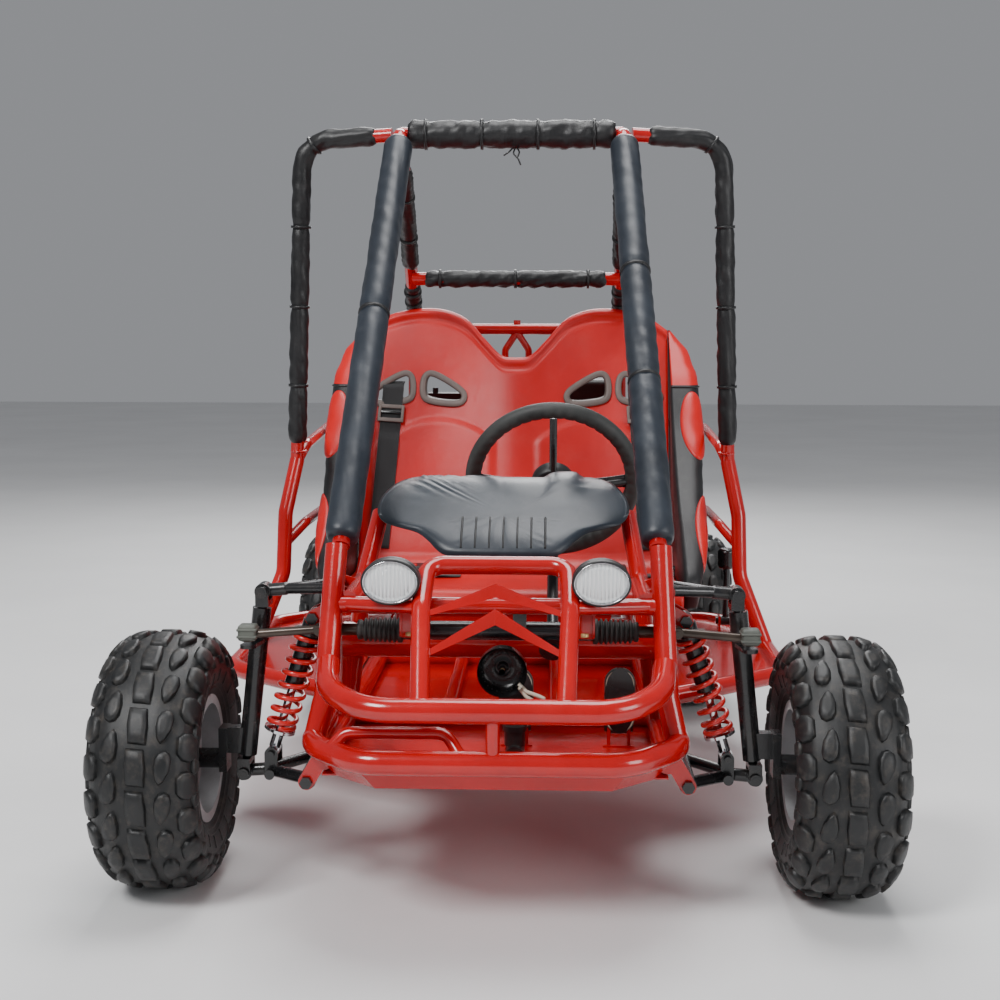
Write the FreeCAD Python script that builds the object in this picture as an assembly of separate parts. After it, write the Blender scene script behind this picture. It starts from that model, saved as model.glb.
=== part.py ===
"""Two-seat off-road kart: a welded tube frame with a padded roll cage, bench seat, rack steering, double-arm
front suspension, a rear swing arm with a live axle, and a small four-stroke engine behind the seat.

Row frame: millimetres, +Z up, the kart faces -Y, +X is the driver's left. The origin is on the ground under the
middle of the kart's length and width.
"""
import FreeCAD
import Part
import math
import os

V = FreeCAD.Vector
X, Y, Z = V(1, 0, 0), V(0, 1, 0), V(0, 0, 1)
OUT = "parts"
LEFT, RIGHT = 1, -1
SIDES = (LEFT, RIGHT)

# --- driving dimensions ---------------------------------------------------------------------------------------
BUMPER_Y = -760.0                       # centre of the bumper tubes
GUARD_Y = 762.0                         # centre of the rear guard tube
AXLE_FRONT_Y, AXLE_REAR_Y = -540.0, 540.0
TYRE_R, TYRE_W = 180.0, 150.0           # 145/70-6 tyre
RIM_SEAT_R = 80.0
FRONT_TRACK, REAR_TRACK = 930.0, 726.0
AXLE_Z = TYRE_R

FLAG_R, HITCH_R = 6.5, 8.5
FRAME_R, BUMPER_R, LIGHT_TUBE_R, BRACE_R = 15.0, 16.0, 12.5, 11.0
RAIL_X, RAIL_Z = 225.0, 215.0           # lower side rails
FLOOR_Z, SHEET = 203.5, 2.0

CAGE_R, PILLAR_FOAM_R, ROOF_FOAM_R, THIN_FOAM_R = 12.5, 25.0, 27.0, 18.0
FOAM_GAP = 0.3
PILLAR_FOOT = V(218, -545, 482)
PILLAR_TOP = V(190, 20, 1110)
STAY_FOOT = V(208, 490, 800)
ROOF_Y, ROOF_Z = 40.0, 1112.0
REAR_BAR_Y, REAR_BAR_Z = 345.0, 878.0
HOOP_X, HOOP_Y, HOOP_FOOT = 364.0, 62.0, V(385, 92, 548)

PIVOT_BOLT_R, BARREL_R, EAR_T = 5.0, 12.0, 5.0
RUN = 0.05                              # radial running clearance of every pivot
ARM = V(98, 0, -8)                      # both arms and the tie rod: equal and parallel
LOWER_IN, UPPER_IN = V(257, AXLE_FRONT_Y, 171), V(228, AXLE_FRONT_Y, 427)
LOWER_OUT, UPPER_OUT = LOWER_IN + ARM, UPPER_IN + ARM
LOWER_SPAN, UPPER_SPAN = 150.0, 70.0    # length of the inner pivot barrels
SHOCK_TOP, SHOCK_LOW = V(256, AXLE_FRONT_Y, 384), V(316, AXLE_FRONT_Y, 192)

TIE_IN = V(242, -585, 374)
TIE_OUT = TIE_IN + ARM
RACK_Y, RACK_Z = TIE_IN.y, TIE_IN.z
STEER_X = 74.0
WHEEL_CENTRE = V(STEER_X, -200, 541)
COLUMN_TILT = 25.9                      # column angle below the horizon, degrees
PINION_PITCH, FOOT_GAP = 12.0, 17.95    # pinion's pitch radius; rack centre to column axis
STEER_GAP = 4.8                         # open pivot at the outer end of each tie rod
SHOCK_EAR_OUT = 20.5
STUB_R, REAR_AXLE_R = 8.5, 15.0
STEER_RING_R, STEER_GRIP_R = 127.0, 13.0

PEDAL_XS = (25.0, 167.0)                # brake, throttle
PEDAL_PIVOT = V(0, -530, 228)
SHIFT_PIVOT = V(393, 150, 250)

SWING_Y, SWING_Z = 300.0, 215.0
SPROCKET_X, SPROCKET_R, PINION_R = 95.0, 70.0, 22.0
OUTPUT = V(SPROCKET_X, 560, 300)
REAR_SHOCK_TOP, REAR_SHOCK_LOW = V(0, 459, 528), V(0, 480, 228)


# --- helpers --------------------------------------------------------------------------------------------------
def mirrored(p, side):
    """The point on one side of the kart, given its place on the left."""
    return V(p.x * side, p.y, p.z)


def rod(a, b, r):
    return Part.makeCylinder(r, (b - a).Length, a, b - a)


def pipe_ring(a, b, outer, inner):
    return rod(a, b, outer).cut(rod(a, b, inner))


def bent_path(points, bend):
    """Straight runs joined by tangent arcs of radius bend, or less where the runs are short."""
    edges, start = [], points[0]
    for before, corner, after in zip(points, points[1:], points[2:]):
        u, w = (before - corner).normalize(), (after - corner).normalize()
        half = u.getAngle(w) / 2
        if math.pi / 2 - half < 0.01:
            continue
        room = 0.45 * min((before - corner).Length, (after - corner).Length)
        reach = min(bend / math.tan(half), room)
        radius = reach * math.tan(half)
        first, last = corner + u * reach, corner + w * reach
        centre = corner + (u + w).normalize() * (radius / math.sin(half))
        middle = centre + (corner - centre).normalize() * radius
        edges.append(Part.LineSegment(start, first).toShape())
        edges.append(Part.Arc(first, middle, last).toShape())
        start = last
    edges.append(Part.LineSegment(start, points[-1]).toShape())
    return Part.Wire(edges)


def tube(points, r, bend=60.0):
    """A round tube along a bent path."""
    path = bent_path(points, bend)
    section = Part.Wire(Part.Circle(points[0], points[1] - points[0], r).toShape())
    made = path.makePipeShell([section], True, False)
    expected = math.pi * r * r * path.Length
    if abs(made.Volume - expected) > 0.03 * expected:
        raise ValueError("tube volume %.0f, expected %.0f, at %s" % (made.Volume, expected, points[0]))
    return made


def fuse(shapes):
    whole = shapes[0].multiFuse(shapes[1:]) if len(shapes) > 1 else shapes[0]
    return whole.removeSplitter()


def group(shapes):
    return Part.makeCompound(shapes)


def box(x0, x1, y0, y1, z0, z1):
    return Part.makeBox(x1 - x0, y1 - y0, z1 - z0, V(x0, y0, z0))


def plate(points, thickness_vector):
    """A flat plate: a closed outline extruded along a vector."""
    return Part.Face(Part.makePolygon(points + [points[0]])).extrude(thickness_vector)


def rounded_box(x0, x1, y0, y1, z0, z1, r):
    solid = box(x0, x1, y0, y1, z0, z1)
    return solid.makeFillet(r, solid.Edges)


def ear(centre, r, base, t, y_side):
    """A bracket ear in the X-Z plane: a round eye at centre running to a root of the same width at base."""
    along = (base - centre).normalize()
    across = V(along.z, 0, -along.x) * r
    root = plate([centre + across, base + across, base - across, centre - across], V(0, t, 0))
    eye = Part.makeCylinder(r, t, centre, Y)
    made = fuse([root, eye])
    made.translate(V(0, y_side, 0))
    return made


def revolve_x(outline, centre_x, y, z):
    """Turns an outline of (x, radius) points about the axle line through y, z."""
    points = [V(centre_x + x, y, z + r) for x, r in outline]
    face = Part.Face(Part.makePolygon(points + [points[0]]))
    return face.revolve(V(0, y, z), X, 360)


def save(name, shape):
    solids = shape.Solids
    if not solids or not all(s.isValid() for s in solids):
        raise ValueError("bad solid in " + name)
    made = solids[0] if len(solids) == 1 else Part.makeCompound(solids)
    made.exportStep(os.path.join(OUT, name + ".step"))
    print("%-24s %2d solids %9.0f mm3" % (name, len(solids), made.Volume))


# --- frame ----------------------------------------------------------------------------------------------------
UPRIGHT = [V(238, -668, 240), V(225, -652, 300), V(219, -575, 488)]
UPPER_RAIL_X, UPPER_RAIL_Z = 200.0, 418.0
POST_Y = -430.0
BAR_Z = 412.0                           # cross bar behind the headlamps
DASH_BAR = V(186, -340, 503)
SWING_BAR_Y = SWING_Y - 36.0
SEAT_BAR_YS = (-20.0, 245.0)


def upright_y(z):
    """How far forward the front upright is at a height."""
    low, high = UPRIGHT[1], UPRIGHT[2]
    return low.y + (high.y - low.y) * (z - low.z) / (high.z - low.z)


def main_frame():
    parts = []
    for s in SIDES:
        rail = (V(RAIL_X, -680, RAIL_Z + 6), V(RAIL_X, -420, RAIL_Z), V(RAIL_X, 345, RAIL_Z))
        post = (V(RAIL_X, POST_Y, RAIL_Z), V(UPPER_RAIL_X, POST_Y, UPPER_RAIL_Z), DASH_BAR)
        bar_y = upright_y(UPPER_RAIL_Z)
        parts.append(tube([mirrored(p, s) for p in rail], FRAME_R))
        parts.append(tube([mirrored(p, s) for p in UPRIGHT], FRAME_R, 40))
        parts.append(rod(mirrored(V(UPPER_RAIL_X, bar_y, UPPER_RAIL_Z), s),
                         mirrored(V(UPPER_RAIL_X, POST_Y, UPPER_RAIL_Z), s), LIGHT_TUBE_R))
        parts.append(tube([mirrored(p, s) for p in post], LIGHT_TUBE_R, 40))
        parts.append(rod(mirrored(V(RAIL_X, -480, RAIL_Z), s), mirrored(V(RAIL_X, -480, 339), s), BRACE_R))
        for y in SEAT_BAR_YS:
            parts.append(rod(mirrored(V(165, y, RAIL_Z), s), mirrored(V(165, y, 283), s), BRACE_R))
    for y, z, r in ((-480, 339, 25.0), (-20, RAIL_Z, FRAME_R), (SWING_BAR_Y, RAIL_Z, FRAME_R),
                    (POST_Y, RAIL_Z, BRACE_R)):
        parts.append(rod(V(-RAIL_X + 2, y, z), V(RAIL_X - 2, y, z), r))
    parts.append(rod(V(-186, DASH_BAR.y, DASH_BAR.z), DASH_BAR, LIGHT_TUBE_R))
    parts.append(rod(V(-219, upright_y(BAR_Z), BAR_Z), V(219, upright_y(BAR_Z), BAR_Z), BRACE_R))
    for y in SEAT_BAR_YS:
        parts.append(rod(V(-176, y, 283), V(176, y, 283), BRACE_R))
    for x in (-80.0, 80.0):
        parts.append(rod(V(x, POST_Y, RAIL_Z), V(x, SWING_BAR_Y, RAIL_Z), BRACE_R))
    return fuse(parts + pivot_ears()).cut(group(pivot_holes()))


def pivot_ears():
    """Ears that carry the front arms and the tops of the front shocks."""
    ears = []
    for s in SIDES:
        for centre, span, root in ((LOWER_IN, LOWER_SPAN, V(RAIL_X + 6, 0, RAIL_Z)),
                                   (UPPER_IN, UPPER_SPAN, V(UPPER_RAIL_X, 0, UPPER_RAIL_Z))):
            base = V(root.x, AXLE_FRONT_Y, root.z)
            for y_side in (-span / 2 - EAR_T - 0.5, span / 2 + 0.5):
                ears.append(ear(mirrored(centre, s), 11.0, mirrored(base, s), EAR_T, y_side))
        for y_side in (-15.5 - EAR_T, 15.5):
            ears.append(ear(mirrored(SHOCK_TOP, s), 10.0, mirrored(V(UPPER_RAIL_X, AXLE_FRONT_Y, UPPER_RAIL_Z - 4), s),
                            EAR_T, y_side))
    for x in (-175.0, -122.0, 116.0, 169.0):
        ears.append(swing_ear(x))
    return ears


def swing_ear(x):
    """One ear of the swing arm's pivot, in the Y-Z plane."""
    eye = Part.makeCylinder(16.0, 6.0, V(x, SWING_Y, SWING_Z), X)
    root = box(x, x + 6.0, SWING_Y - 30, SWING_Y, SWING_Z - 13, SWING_Z + 13)
    return fuse([eye, root])


def pivot_holes():
    holes = []
    for s in SIDES:
        for centre, span in ((LOWER_IN, LOWER_SPAN), (UPPER_IN, UPPER_SPAN), (SHOCK_TOP, 31.0)):
            reach = span / 2 + EAR_T + 2
            holes.append(rod(mirrored(centre, s) - Y * reach, mirrored(centre, s) + Y * reach, PIVOT_BOLT_R + 0.2))
    holes.append(rod(V(-190, SWING_Y, SWING_Z), V(190, SWING_Y, SWING_Z), 8.2))
    return holes


LOWER_RIM = [V(238, -560, 247), V(238, -690, 243), V(170, BUMPER_Y, 240), V(-170, BUMPER_Y, 240),
             V(-238, -690, 243), V(-238, -560, 247)]
MID_BUMPER = [V(222, -640, 338), V(214, -705, 318), V(160, BUMPER_Y, 307), V(-160, BUMPER_Y, 307),
              V(-214, -705, 318), V(-222, -640, 338)]
BULL_BAR = [V(91, -758, 308), V(97, -668, 420), V(95, -590, 464), V(-95, -590, 464), V(-97, -668, 420),
            V(-91, -758, 308)]


def front_bumper(frame):
    """Lower rim, middle bumper tube, bull bar with its chevrons, lamp bars, centre post and foot hoop."""
    parts = [tube(LOWER_RIM, BUMPER_R, 70), tube(MID_BUMPER, BUMPER_R, 90), tube(BULL_BAR, LIGHT_TUBE_R, 26)]
    parts.append(rod(V(0, BUMPER_Y, 240), V(0, BUMPER_Y, 307), 9.0))
    parts.append(tube([V(-212, -728, 244), V(-190, -722, 268), V(-60, -728, 270), V(-38, -750, 242)], 8.0, 22))
    parts.append(chevron(-655, 450, -672, 416, 90, 17))
    parts.append(chevron(-672, 420, -708, 370, 90, 20))
    for s in SIDES:
        parts.append(rod(mirrored(V(206, upright_y(BAR_Z), BAR_Z), s), mirrored(V(97, -668, 420), s), 8.0))
    return fuse(parts).cut(frame)


def floor_pan(frame, bumper):
    """Flat floor with a flared nose lip that meets the lower rim, and the pedal and lever feet."""
    low = [V(205, -690, 0), V(150, -742, 0), V(-150, -742, 0), V(-205, -690, 0), V(-205, -600, 0), V(205, -600, 0)]
    high = [V(232, -690, 26), V(168, BUMPER_Y + 4, 26), V(-168, BUMPER_Y + 4, 26), V(-232, -690, 26),
            V(-232, -600, 26), V(232, -600, 26)]

    def section(points, inset):
        lifted = [V(p.x * (1 - inset / 230), p.y + (inset if p.y < -620 else 0), p.z + FLOOR_Z - SHEET) for p in points]
        return Part.makePolygon(lifted + [lifted[0]])
    outer = Part.makeLoft([section(low, 0), section(high, 0)], True, True)
    inner = Part.makeLoft([section(low, SHEET), section(high, SHEET)], True, True)
    lip = outer.cut(inner).cut(box(-300, 300, -688, -500, 150, 300))
    outline = [V(205, -689, 0), V(150, -742, 0), V(-150, -742, 0), V(-205, -689, 0)]
    front = plate([p + Z * (FLOOR_Z - SHEET) for p in outline], V(0, 0, SHEET))
    floor = box(-RAIL_X, RAIL_X, -689, -20, FLOOR_Z - SHEET, FLOOR_Z)
    feet = []
    for x in PEDAL_XS:
        for x_side in (-16.0, 12.0):
            feet.append(box(x + x_side, x + x_side + 4, PEDAL_PIVOT.y - 12, PEDAL_PIVOT.y + 12, FLOOR_Z - 1,
                            PEDAL_PIVOT.z + 10))
            feet.append(box(x - 22, x + 22, PEDAL_PIVOT.y - 16, PEDAL_PIVOT.y + 16, FLOOR_Z - 1, FLOOR_Z + 2))
    whole = fuse([lip, front, floor] + feet)
    pins = [rod(V(x - 20, PEDAL_PIVOT.y, PEDAL_PIVOT.z), V(x + 20, PEDAL_PIVOT.y, PEDAL_PIVOT.z), 4.0)
            for x in PEDAL_XS]
    return whole.cut(group([frame, bumper] + pins))


def chevron(apex_y, apex_z, foot_y, foot_z, foot_x, depth):
    """A folded V plate: two swept wings that meet on the centre line."""
    wings = []
    for s in SIDES:
        top, low = V(0, apex_y, apex_z), V(0, apex_y - 4, apex_z - depth)
        tip = V(foot_x * s, foot_y, foot_z)
        tail = V(foot_x * s, foot_y - 3, foot_z - depth * 0.35)
        wings.append(Part.makeLoft([wing_end(top, low), wing_end(tip, tail)], True, True))
    return fuse(wings)


def wing_end(top, low):
    depth = V(0, -3.0, 0)
    return Part.makePolygon([top, low, low + depth, top + depth, top])


SIDE_POST = [V(385, 92, 548), V(402, 62, 455), V(404, 45, 350), V(447, 5, 232)]
NERF_BAR = [V(236, -318, 216), V(330, -272, 224), V(448, -195, 230), V(448, 190, 230), V(372, 298, 224),
            V(236, 322, 216)]


def side_frames(frame):
    """Outer nerf bars with the posts that carry the side hoops, and two braces to the seat mounts."""
    made = []
    for s in SIDES:
        here = [tube([mirrored(p, s) for p in NERF_BAR], 14.0, 70), tube([mirrored(p, s) for p in SIDE_POST], 13.0, 50)]
        here.append(tube([mirrored(p, s) for p in (V(387, 88, 538), V(374, 128, 572), V(372, 396, 590), V(212, 495, 600))],
                         9.0, 34))
        here.append(tube([mirrored(p, s) for p in (V(403, 55, 400), V(375, 110, 432), V(371, 340, 434), V(217, 440, 424))],
                         9.0, 34))
        step = (V(238, -290, 226), V(330, -262, 226), V(440, -185, 226), V(440, 182, 226), V(366, 282, 226),
                V(238, 300, 226))
        here.append(plate([mirrored(p, s) for p in step], V(0, 0, SHEET)))
        if s == LEFT:
            for x in (SHIFT_PIVOT.x - 14, SHIFT_PIVOT.x + 10):
                here.append(box(x, x + 4, SHIFT_PIVOT.y - 12, SHIFT_PIVOT.y + 12, 227, SHIFT_PIVOT.z + 9))
        whole = fuse(here).cut(frame)
        made.append(whole.cut(rod(SHIFT_PIVOT - X * 20, SHIFT_PIVOT + X * 20, 4.0)))
    return group(made)


REAR_RAIL = [V(RAIL_X, 345, RAIL_Z), V(222, 372, 330), V(214, 450, 426), V(208, 700, 440), V(208, GUARD_Y, 400),
             V(168, GUARD_Y, 300), V(0, GUARD_Y, 300)]
RACK_TUBE_XS, RACK_TOP = (60.0, 165.0), 556.0
REAR_POST_TOP, REAR_POST_LOW = V(208, 486, 790), V(212, 500, 430)


def rear_frame(frame, side):
    """Rear hoop and guard, the posts behind the seat, the shock mount, and the rack over the engine."""
    parts = []
    for s in SIDES:
        parts.append(tube([mirrored(p, s) for p in REAR_RAIL], 14.0, 60))
        parts.append(rod(mirrored(REAR_POST_LOW, s), mirrored(REAR_POST_TOP, s), LIGHT_TUBE_R))
        parts.append(tube([V(24 * s, 490, 606), V(24 * s, 486, 740), V(0, 486, 776)], 7.0, 16))
        parts.append(rod(V(165 * s, 700, 440), V(165 * s, GUARD_Y, 300), 9.0))
        for x in RACK_TUBE_XS:
            parts.append(tube([V(x * s, 487, 548), V(x * s, 655, 548), V(x * s, 700, 440)], 8.0, 30))
    parts.append(rod(V(-208, 486, 782), V(208, 486, 782), BRACE_R))
    parts.append(rod(V(-210, 490, 606), V(210, 490, 606), BRACE_R))
    parts.append(rod(V(-211, 490, 548), V(211, 490, 548), BRACE_R))
    parts.append(rod(V(-210, 700, 440), V(210, 700, 440), BRACE_R))
    parts.append(rod(V(0, 486, 786), V(0, 486, 800), 7.0))
    for x in (-21.0, 15.5):
        parts.append(shock_ear(x))
    parts.append(box(-25, 25, 716, 768, 282, 290))
    parts.append(rod(V(-232, 650, 382), V(-232, 650, 442), 11.0))
    parts.append(box(-226, -206, 642, 658, 424, 438))
    holes = [rod(REAR_SHOCK_TOP - X * 30, REAR_SHOCK_TOP + X * 30, PIVOT_BOLT_R),
             rod(V(-232, 650, 381), V(-232, 650, 443), FLAG_R), rod(V(0, 732, 280), V(0, 732, 292), HITCH_R)]
    return fuse(parts).cut(group([frame, side] + holes))


def shock_ear(x):
    """An ear in the Y-Z plane for the top of the rear shock."""
    eye = Part.makeCylinder(11.0, 5.5, V(x, REAR_SHOCK_TOP.y, REAR_SHOCK_TOP.z), X)
    arm = plate([V(x, REAR_SHOCK_TOP.y - 9, REAR_SHOCK_TOP.z + 4), V(x, REAR_SHOCK_TOP.y + 7, REAR_SHOCK_TOP.z - 8),
                 V(x, 494, 542), V(x, 484, 554)], V(5.5, 0, 0))
    return fuse([eye, arm])


# --- roll cage ------------------------------------------------------------------------------------------------
PILLAR_PATH = [PILLAR_FOOT, PILLAR_TOP, V(192, 62, 1104), STAY_FOOT]
HOOP_PATH = [V(206, 46, 1112), V(HOOP_X, HOOP_Y, 1104), HOOP_FOOT]


def along(a, b, t):
    return a + (b - a) * t


def cage():
    """Pillars with their rear stays, roof bar and rear bar."""
    pillars = [tube([mirrored(p, s) for p in PILLAR_PATH], CAGE_R, 26) for s in SIDES]
    bars = [rod(V(-190, ROOF_Y, ROOF_Z), V(190, ROOF_Y, ROOF_Z), CAGE_R),
            rod(V(-200, REAR_BAR_Y, REAR_BAR_Z), V(200, REAR_BAR_Y, REAR_BAR_Z), CAGE_R)]
    return fuse(pillars + bars)


def side_hoops(cage_solid, side):
    return group([tube([mirrored(p, s) for p in HOOP_PATH], 12.0, 55).cut(group([cage_solid, side])) for s in SIDES])


def sleeve(points, outer, inner, bend=26.0):
    return tube(points, outer, bend).cut(tube(points, inner + FOAM_GAP, bend))


def pillar_foam():
    made = []
    for s in SIDES:
        start, end = along(PILLAR_FOOT, PILLAR_TOP, 0.012), along(PILLAR_FOOT, PILLAR_TOP, 0.955)
        made.append(sleeve([mirrored(p, s) for p in (start, along(start, end, 0.5), end)], PILLAR_FOAM_R, CAGE_R))
    return group(made)


def roof_foam():
    a, b = V(-164, ROOF_Y, ROOF_Z), V(164, ROOF_Y, ROOF_Z)
    return pipe_ring(a, b, ROOF_FOAM_R, CAGE_R + FOAM_GAP)


def rear_foam():
    made = []
    top = V(192, 62, 1104)
    for s in SIDES:
        for t0, t1 in ((0.13, 0.66), (0.77, 0.94)):
            made.append(pipe_ring(mirrored(along(top, STAY_FOOT, t0), s), mirrored(along(top, STAY_FOOT, t1), s),
                                  THIN_FOAM_R, CAGE_R + FOAM_GAP))
    made.append(pipe_ring(V(-174, REAR_BAR_Y, REAR_BAR_Z), V(174, REAR_BAR_Y, REAR_BAR_Z), THIN_FOAM_R,
                          CAGE_R + FOAM_GAP))
    return group(made)


def hoop_foam():
    made = []
    for s in SIDES:
        start, corner = V(234, 49, 1110.6), HOOP_PATH[1]
        path = [mirrored(p, s) for p in (start, corner, along(corner, HOOP_FOOT, 0.945))]
        made.append(sleeve(path, THIN_FOAM_R, 12.0, 55))
    return group(made)


def hex_bolt(at, axis, r, grip):
    """A bolt with a hexagon head at one end of its grip and a nut at the other."""
    axis = V(axis).normalize()
    bolt = [Part.makeCylinder(r, grip + 6, at - axis * 1.0, axis)]
    for start, height in ((at - axis * (r * 1.4), r * 1.4), (at + axis * grip, r * 1.6)):
        prism = Part.Face(Part.makePolygon([V(r * 1.75 * math.cos(k * math.pi / 3),
                                              r * 1.75 * math.sin(k * math.pi / 3), 0) for k in range(7)]))
        prism.Placement = FreeCAD.Placement(start, FreeCAD.Rotation(Z, axis))
        bolt.append(prism.extrude(axis * height))
    return fuse(bolt)


def frame_bolts():
    """Pivot bolts of the front arms, shocks and swing arm, held in the frame's ears."""
    made = []
    for s in SIDES:
        for centre, span, r in ((LOWER_IN, LOWER_SPAN, PIVOT_BOLT_R), (UPPER_IN, UPPER_SPAN, PIVOT_BOLT_R),
                                (SHOCK_TOP, 31.0, PIVOT_BOLT_R)):
            half = span / 2 + EAR_T + 0.5
            made.append(hex_bolt(mirrored(centre, s) - Y * half, Y, r, 2 * half))
    made.append(hex_bolt(V(-175.2, SWING_Y, SWING_Z), X, 8.0, 350.4))
    made.append(hex_bolt(REAR_SHOCK_TOP - X * 21.2, X, PIVOT_BOLT_R, 42.4))
    return group(made)


# --- seat, dash, lamps and horn -------------------------------------------------------------------------------
SEAT_SIDE = [(-52, 318), (-34, 338), (210, 326), (262, 338), (412, 806), (424, 824), (440, 812), (436, 780),
             (292, 322), (268, 294), (-20, 294), (-50, 302)]
BUCKET_X, SLOT_Z = 192.0, 664.0
SLOT_SHAPE = [(16, 24), (30, 27), (82, -4), (88, -16), (78, -24), (22, -18), (14, -8)]


def smooth_face(points):
    curve = Part.BSplineCurve()
    curve.interpolate(points, PeriodicFlag=True)
    return Part.Face(Part.Wire(curve.toShape()))


def seat_outline():
    """Front view of the bench: two rounded lobes with a notch between them."""
    half = [(0, 727), (28, 731), (60, 762), (96, 801), (134, 819), (173, 824), (222, 819), (262, 806), (300, 780),
            (300, 560), (300, 280)]
    points = [V(x, -100, z) for x, z in half] + [V(-x, -100, z) for x, z in reversed(half[1:])]
    return Part.Face(Part.makePolygon(points + [points[0]])).extrude(V(0, 700, 0))


def seat_shell():
    side = [V(-310, y, z) for y, z in SEAT_SIDE]
    solid = plate(side, V(620, 0, 0)).common(seat_outline())
    holes = [slot(s * BUCKET_X, turn) for s in SIDES for turn in SIDES]
    return solid.cut(group(holes))


def slot(bucket_x, turn):
    """One harness slot: tall beside the bucket's middle, tapering away from it."""
    return plate([V(bucket_x + turn * x, 300, SLOT_Z + z) for x, z in SLOT_SHAPE], V(0, 200, 0))


def bolster(s):
    """A side wing: it rises from the cushion's edge and wraps the back up to shoulder height."""
    side = [V(300, -30, 300), V(300, 250, 296), V(300, 300, 330), V(300, 434, 772), V(300, 412, 782),
            V(300, 330, 690), V(300, 250, 585), V(300, 130, 470), V(300, 20, 400), V(300, -40, 350)]
    outer = plate([mirrored(p, s) for p in side], V(56 * s, 0, 0))
    trim = plate([mirrored(p, s) for p in
                  (V(301, -100, 280), V(326, -100, 300), V(346, -100, 420), V(357, -100, 560), V(355, -100, 690),
                   V(338, -100, 742), V(301, -100, 779))], V(0, 700, 0))
    return outer.common(trim)


def seat_bolsters(seat, side):
    return group([bolster(s).cut(group([seat, side])) for s in SIDES])


BELT_T = 2.4


def front_of_back(z):
    """The seat back's front face at a height."""
    return 262 + (z - 338) * (412 - 262) / (806 - 338)


def seat_belts():
    """A shoulder strap from each outer slot down the seat back, and a lap strap across each cushion."""
    made = []
    for s in SIDES:
        top, low = V(238 * s, front_of_back(655), 655), V(262 * s, front_of_back(352), 352)
        made.append(strap_between(top, low, V(0, -0.95, 0.31)))
        a, b = V(286 * s, 180, 327.6), V(96 * s, 180, 327.6)
        made.append(strap_between(a, b, V(0, 0.049, 1.0)))
    return group(made)


def strap_between(a, b, normal):
    """A flat strap from a to b, half a millimetre off the face behind it."""
    normal = V(normal).normalize()
    across = normal.cross((b - a).normalize()).normalize() * 21.0
    base = [a + across, b + across, b - across, a - across]
    return plate([p + normal * 0.9 for p in base], normal * BELT_T)


def belt_buckles():
    made = []
    for s in SIDES:
        body = rounded_box(188 * s - 24, 188 * s + 24, 154, 206, 332.2, 348, 5)
        made.append(body)
    return group(made)


DASH_ROWS = [(-484, 460, 84, 5), (-452, 487, 118, 9), (-400, 518, 158, 16), (-335, 548, 186, 25), (-282, 566, 176, 22),
             (-258, 566, 150, 12)]
DASH_T = 4.0


def dash(frame):
    """Moulded cowl: arched rows lofted from the narrow low nose back to the wide top edge, with vent slots."""
    wires = []
    for y, z, half, drop in DASH_ROWS:
        over, under = [], []
        for k in range(-6, 7):
            u = k / 6.0
            height = z - drop * u * u
            over.append(V(half * u, y, height))
            under.append(V(half * u * 0.98, y, height - DASH_T - 1.5 * abs(u)))
        wires.append(Part.makePolygon(over + under[::-1] + [over[0]]))
    shell = Part.makeLoft(wires, True, True)
    slots = [box(x - 3.5, x + 3.5, -468, -418, 400, 600) for x in range(-60, 61, 20)]
    return shell.cut(group(slots + [frame]))


LAMP = V(137, -650, 453)


def ellipse_disc(centre, rx, rz, depth, y_shift=0.0):
    ring = Part.Ellipse(V(0, 0, 0), rx, rz).toShape()
    face = Part.Face(Part.Wire(ring))
    face.Placement = FreeCAD.Placement(centre + V(0, y_shift, 0), FreeCAD.Rotation(X, 90))
    return face.extrude(V(0, depth, 0))


def headlamp_shells(frame, bumper):
    """Oval bowls on stalks clamped to the lamp bars."""
    made = []
    for s in SIDES:
        centre = mirrored(LAMP, s)
        inside = ellipse_disc(centre, 35, 27, 26, -21)
        shell = ellipse_disc(centre, 38.5, 30.5, 34, -20)
        taper = Part.makeCone(27, 12, 22, centre + V(0, 13.5, 0), Y)
        stalk = rod(centre + V(0, 24, -10), mirrored(V(137, -626, 416), s), 6.0)
        clamp = rod(mirrored(V(126, -657.5, 418), s), mirrored(V(148, -644.5, 416), s), 12.0)
        link = box(centre.x - 5, centre.x + 5, -652, -612, 412, 422)
        hole = rod(mirrored(V(206, upright_y(BAR_Z), BAR_Z), s), mirrored(V(97, -668, 420), s), 8.0)
        made.append(fuse([shell, taper, stalk, clamp, link]).cut(group([inside, hole, frame, bumper])))
    return group(made)


def headlamp_lenses():
    return group([ellipse_disc(mirrored(LAMP, s), 34.6, 26.6, 8, -18) for s in SIDES])


def horn(frame):
    """A round horn: a stepped cup with a raised centre, on a strap from the cross bar."""
    profile = [(0, 0), (33, 0), (35, 2), (35, 9), (30, 11), (24, 24), (13, 27), (13, 33), (0, 33)]
    points = [V(8 + r, -650 + y, 331) for r, y in profile]
    cup = Part.Face(Part.makePolygon(points + [points[0]])).revolve(V(8, -650, 331), Y, 360)
    boss = Part.makeCylinder(11, 4, V(8, -654, 331), Y)
    strap = box(1, 15, -620, -617, 325, 402)
    turn = box(1, 15, -620, upright_y(BAR_Z) - 4, 400, 403.2)
    return fuse([cup, boss, strap, turn]).cut(frame)


# --- steering -------------------------------------------------------------------------------------------------
TILT = math.radians(COLUMN_TILT)
COLUMN = V(0, -math.cos(TILT), -math.sin(TILT))
FOOT_S = (RACK_Y - WHEEL_CENTRE.y) * COLUMN.y + (RACK_Z - WHEEL_CENTRE.z) * COLUMN.z


def on_column(s):
    return WHEEL_CENTRE + COLUMN * s


def steering_wheel():
    """The padded ring."""
    ring = Part.makeTorus(STEER_RING_R, STEER_GRIP_R)
    ring.Placement = FreeCAD.Placement(WHEEL_CENTRE, FreeCAD.Rotation(Z, COLUMN))
    return ring


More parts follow.
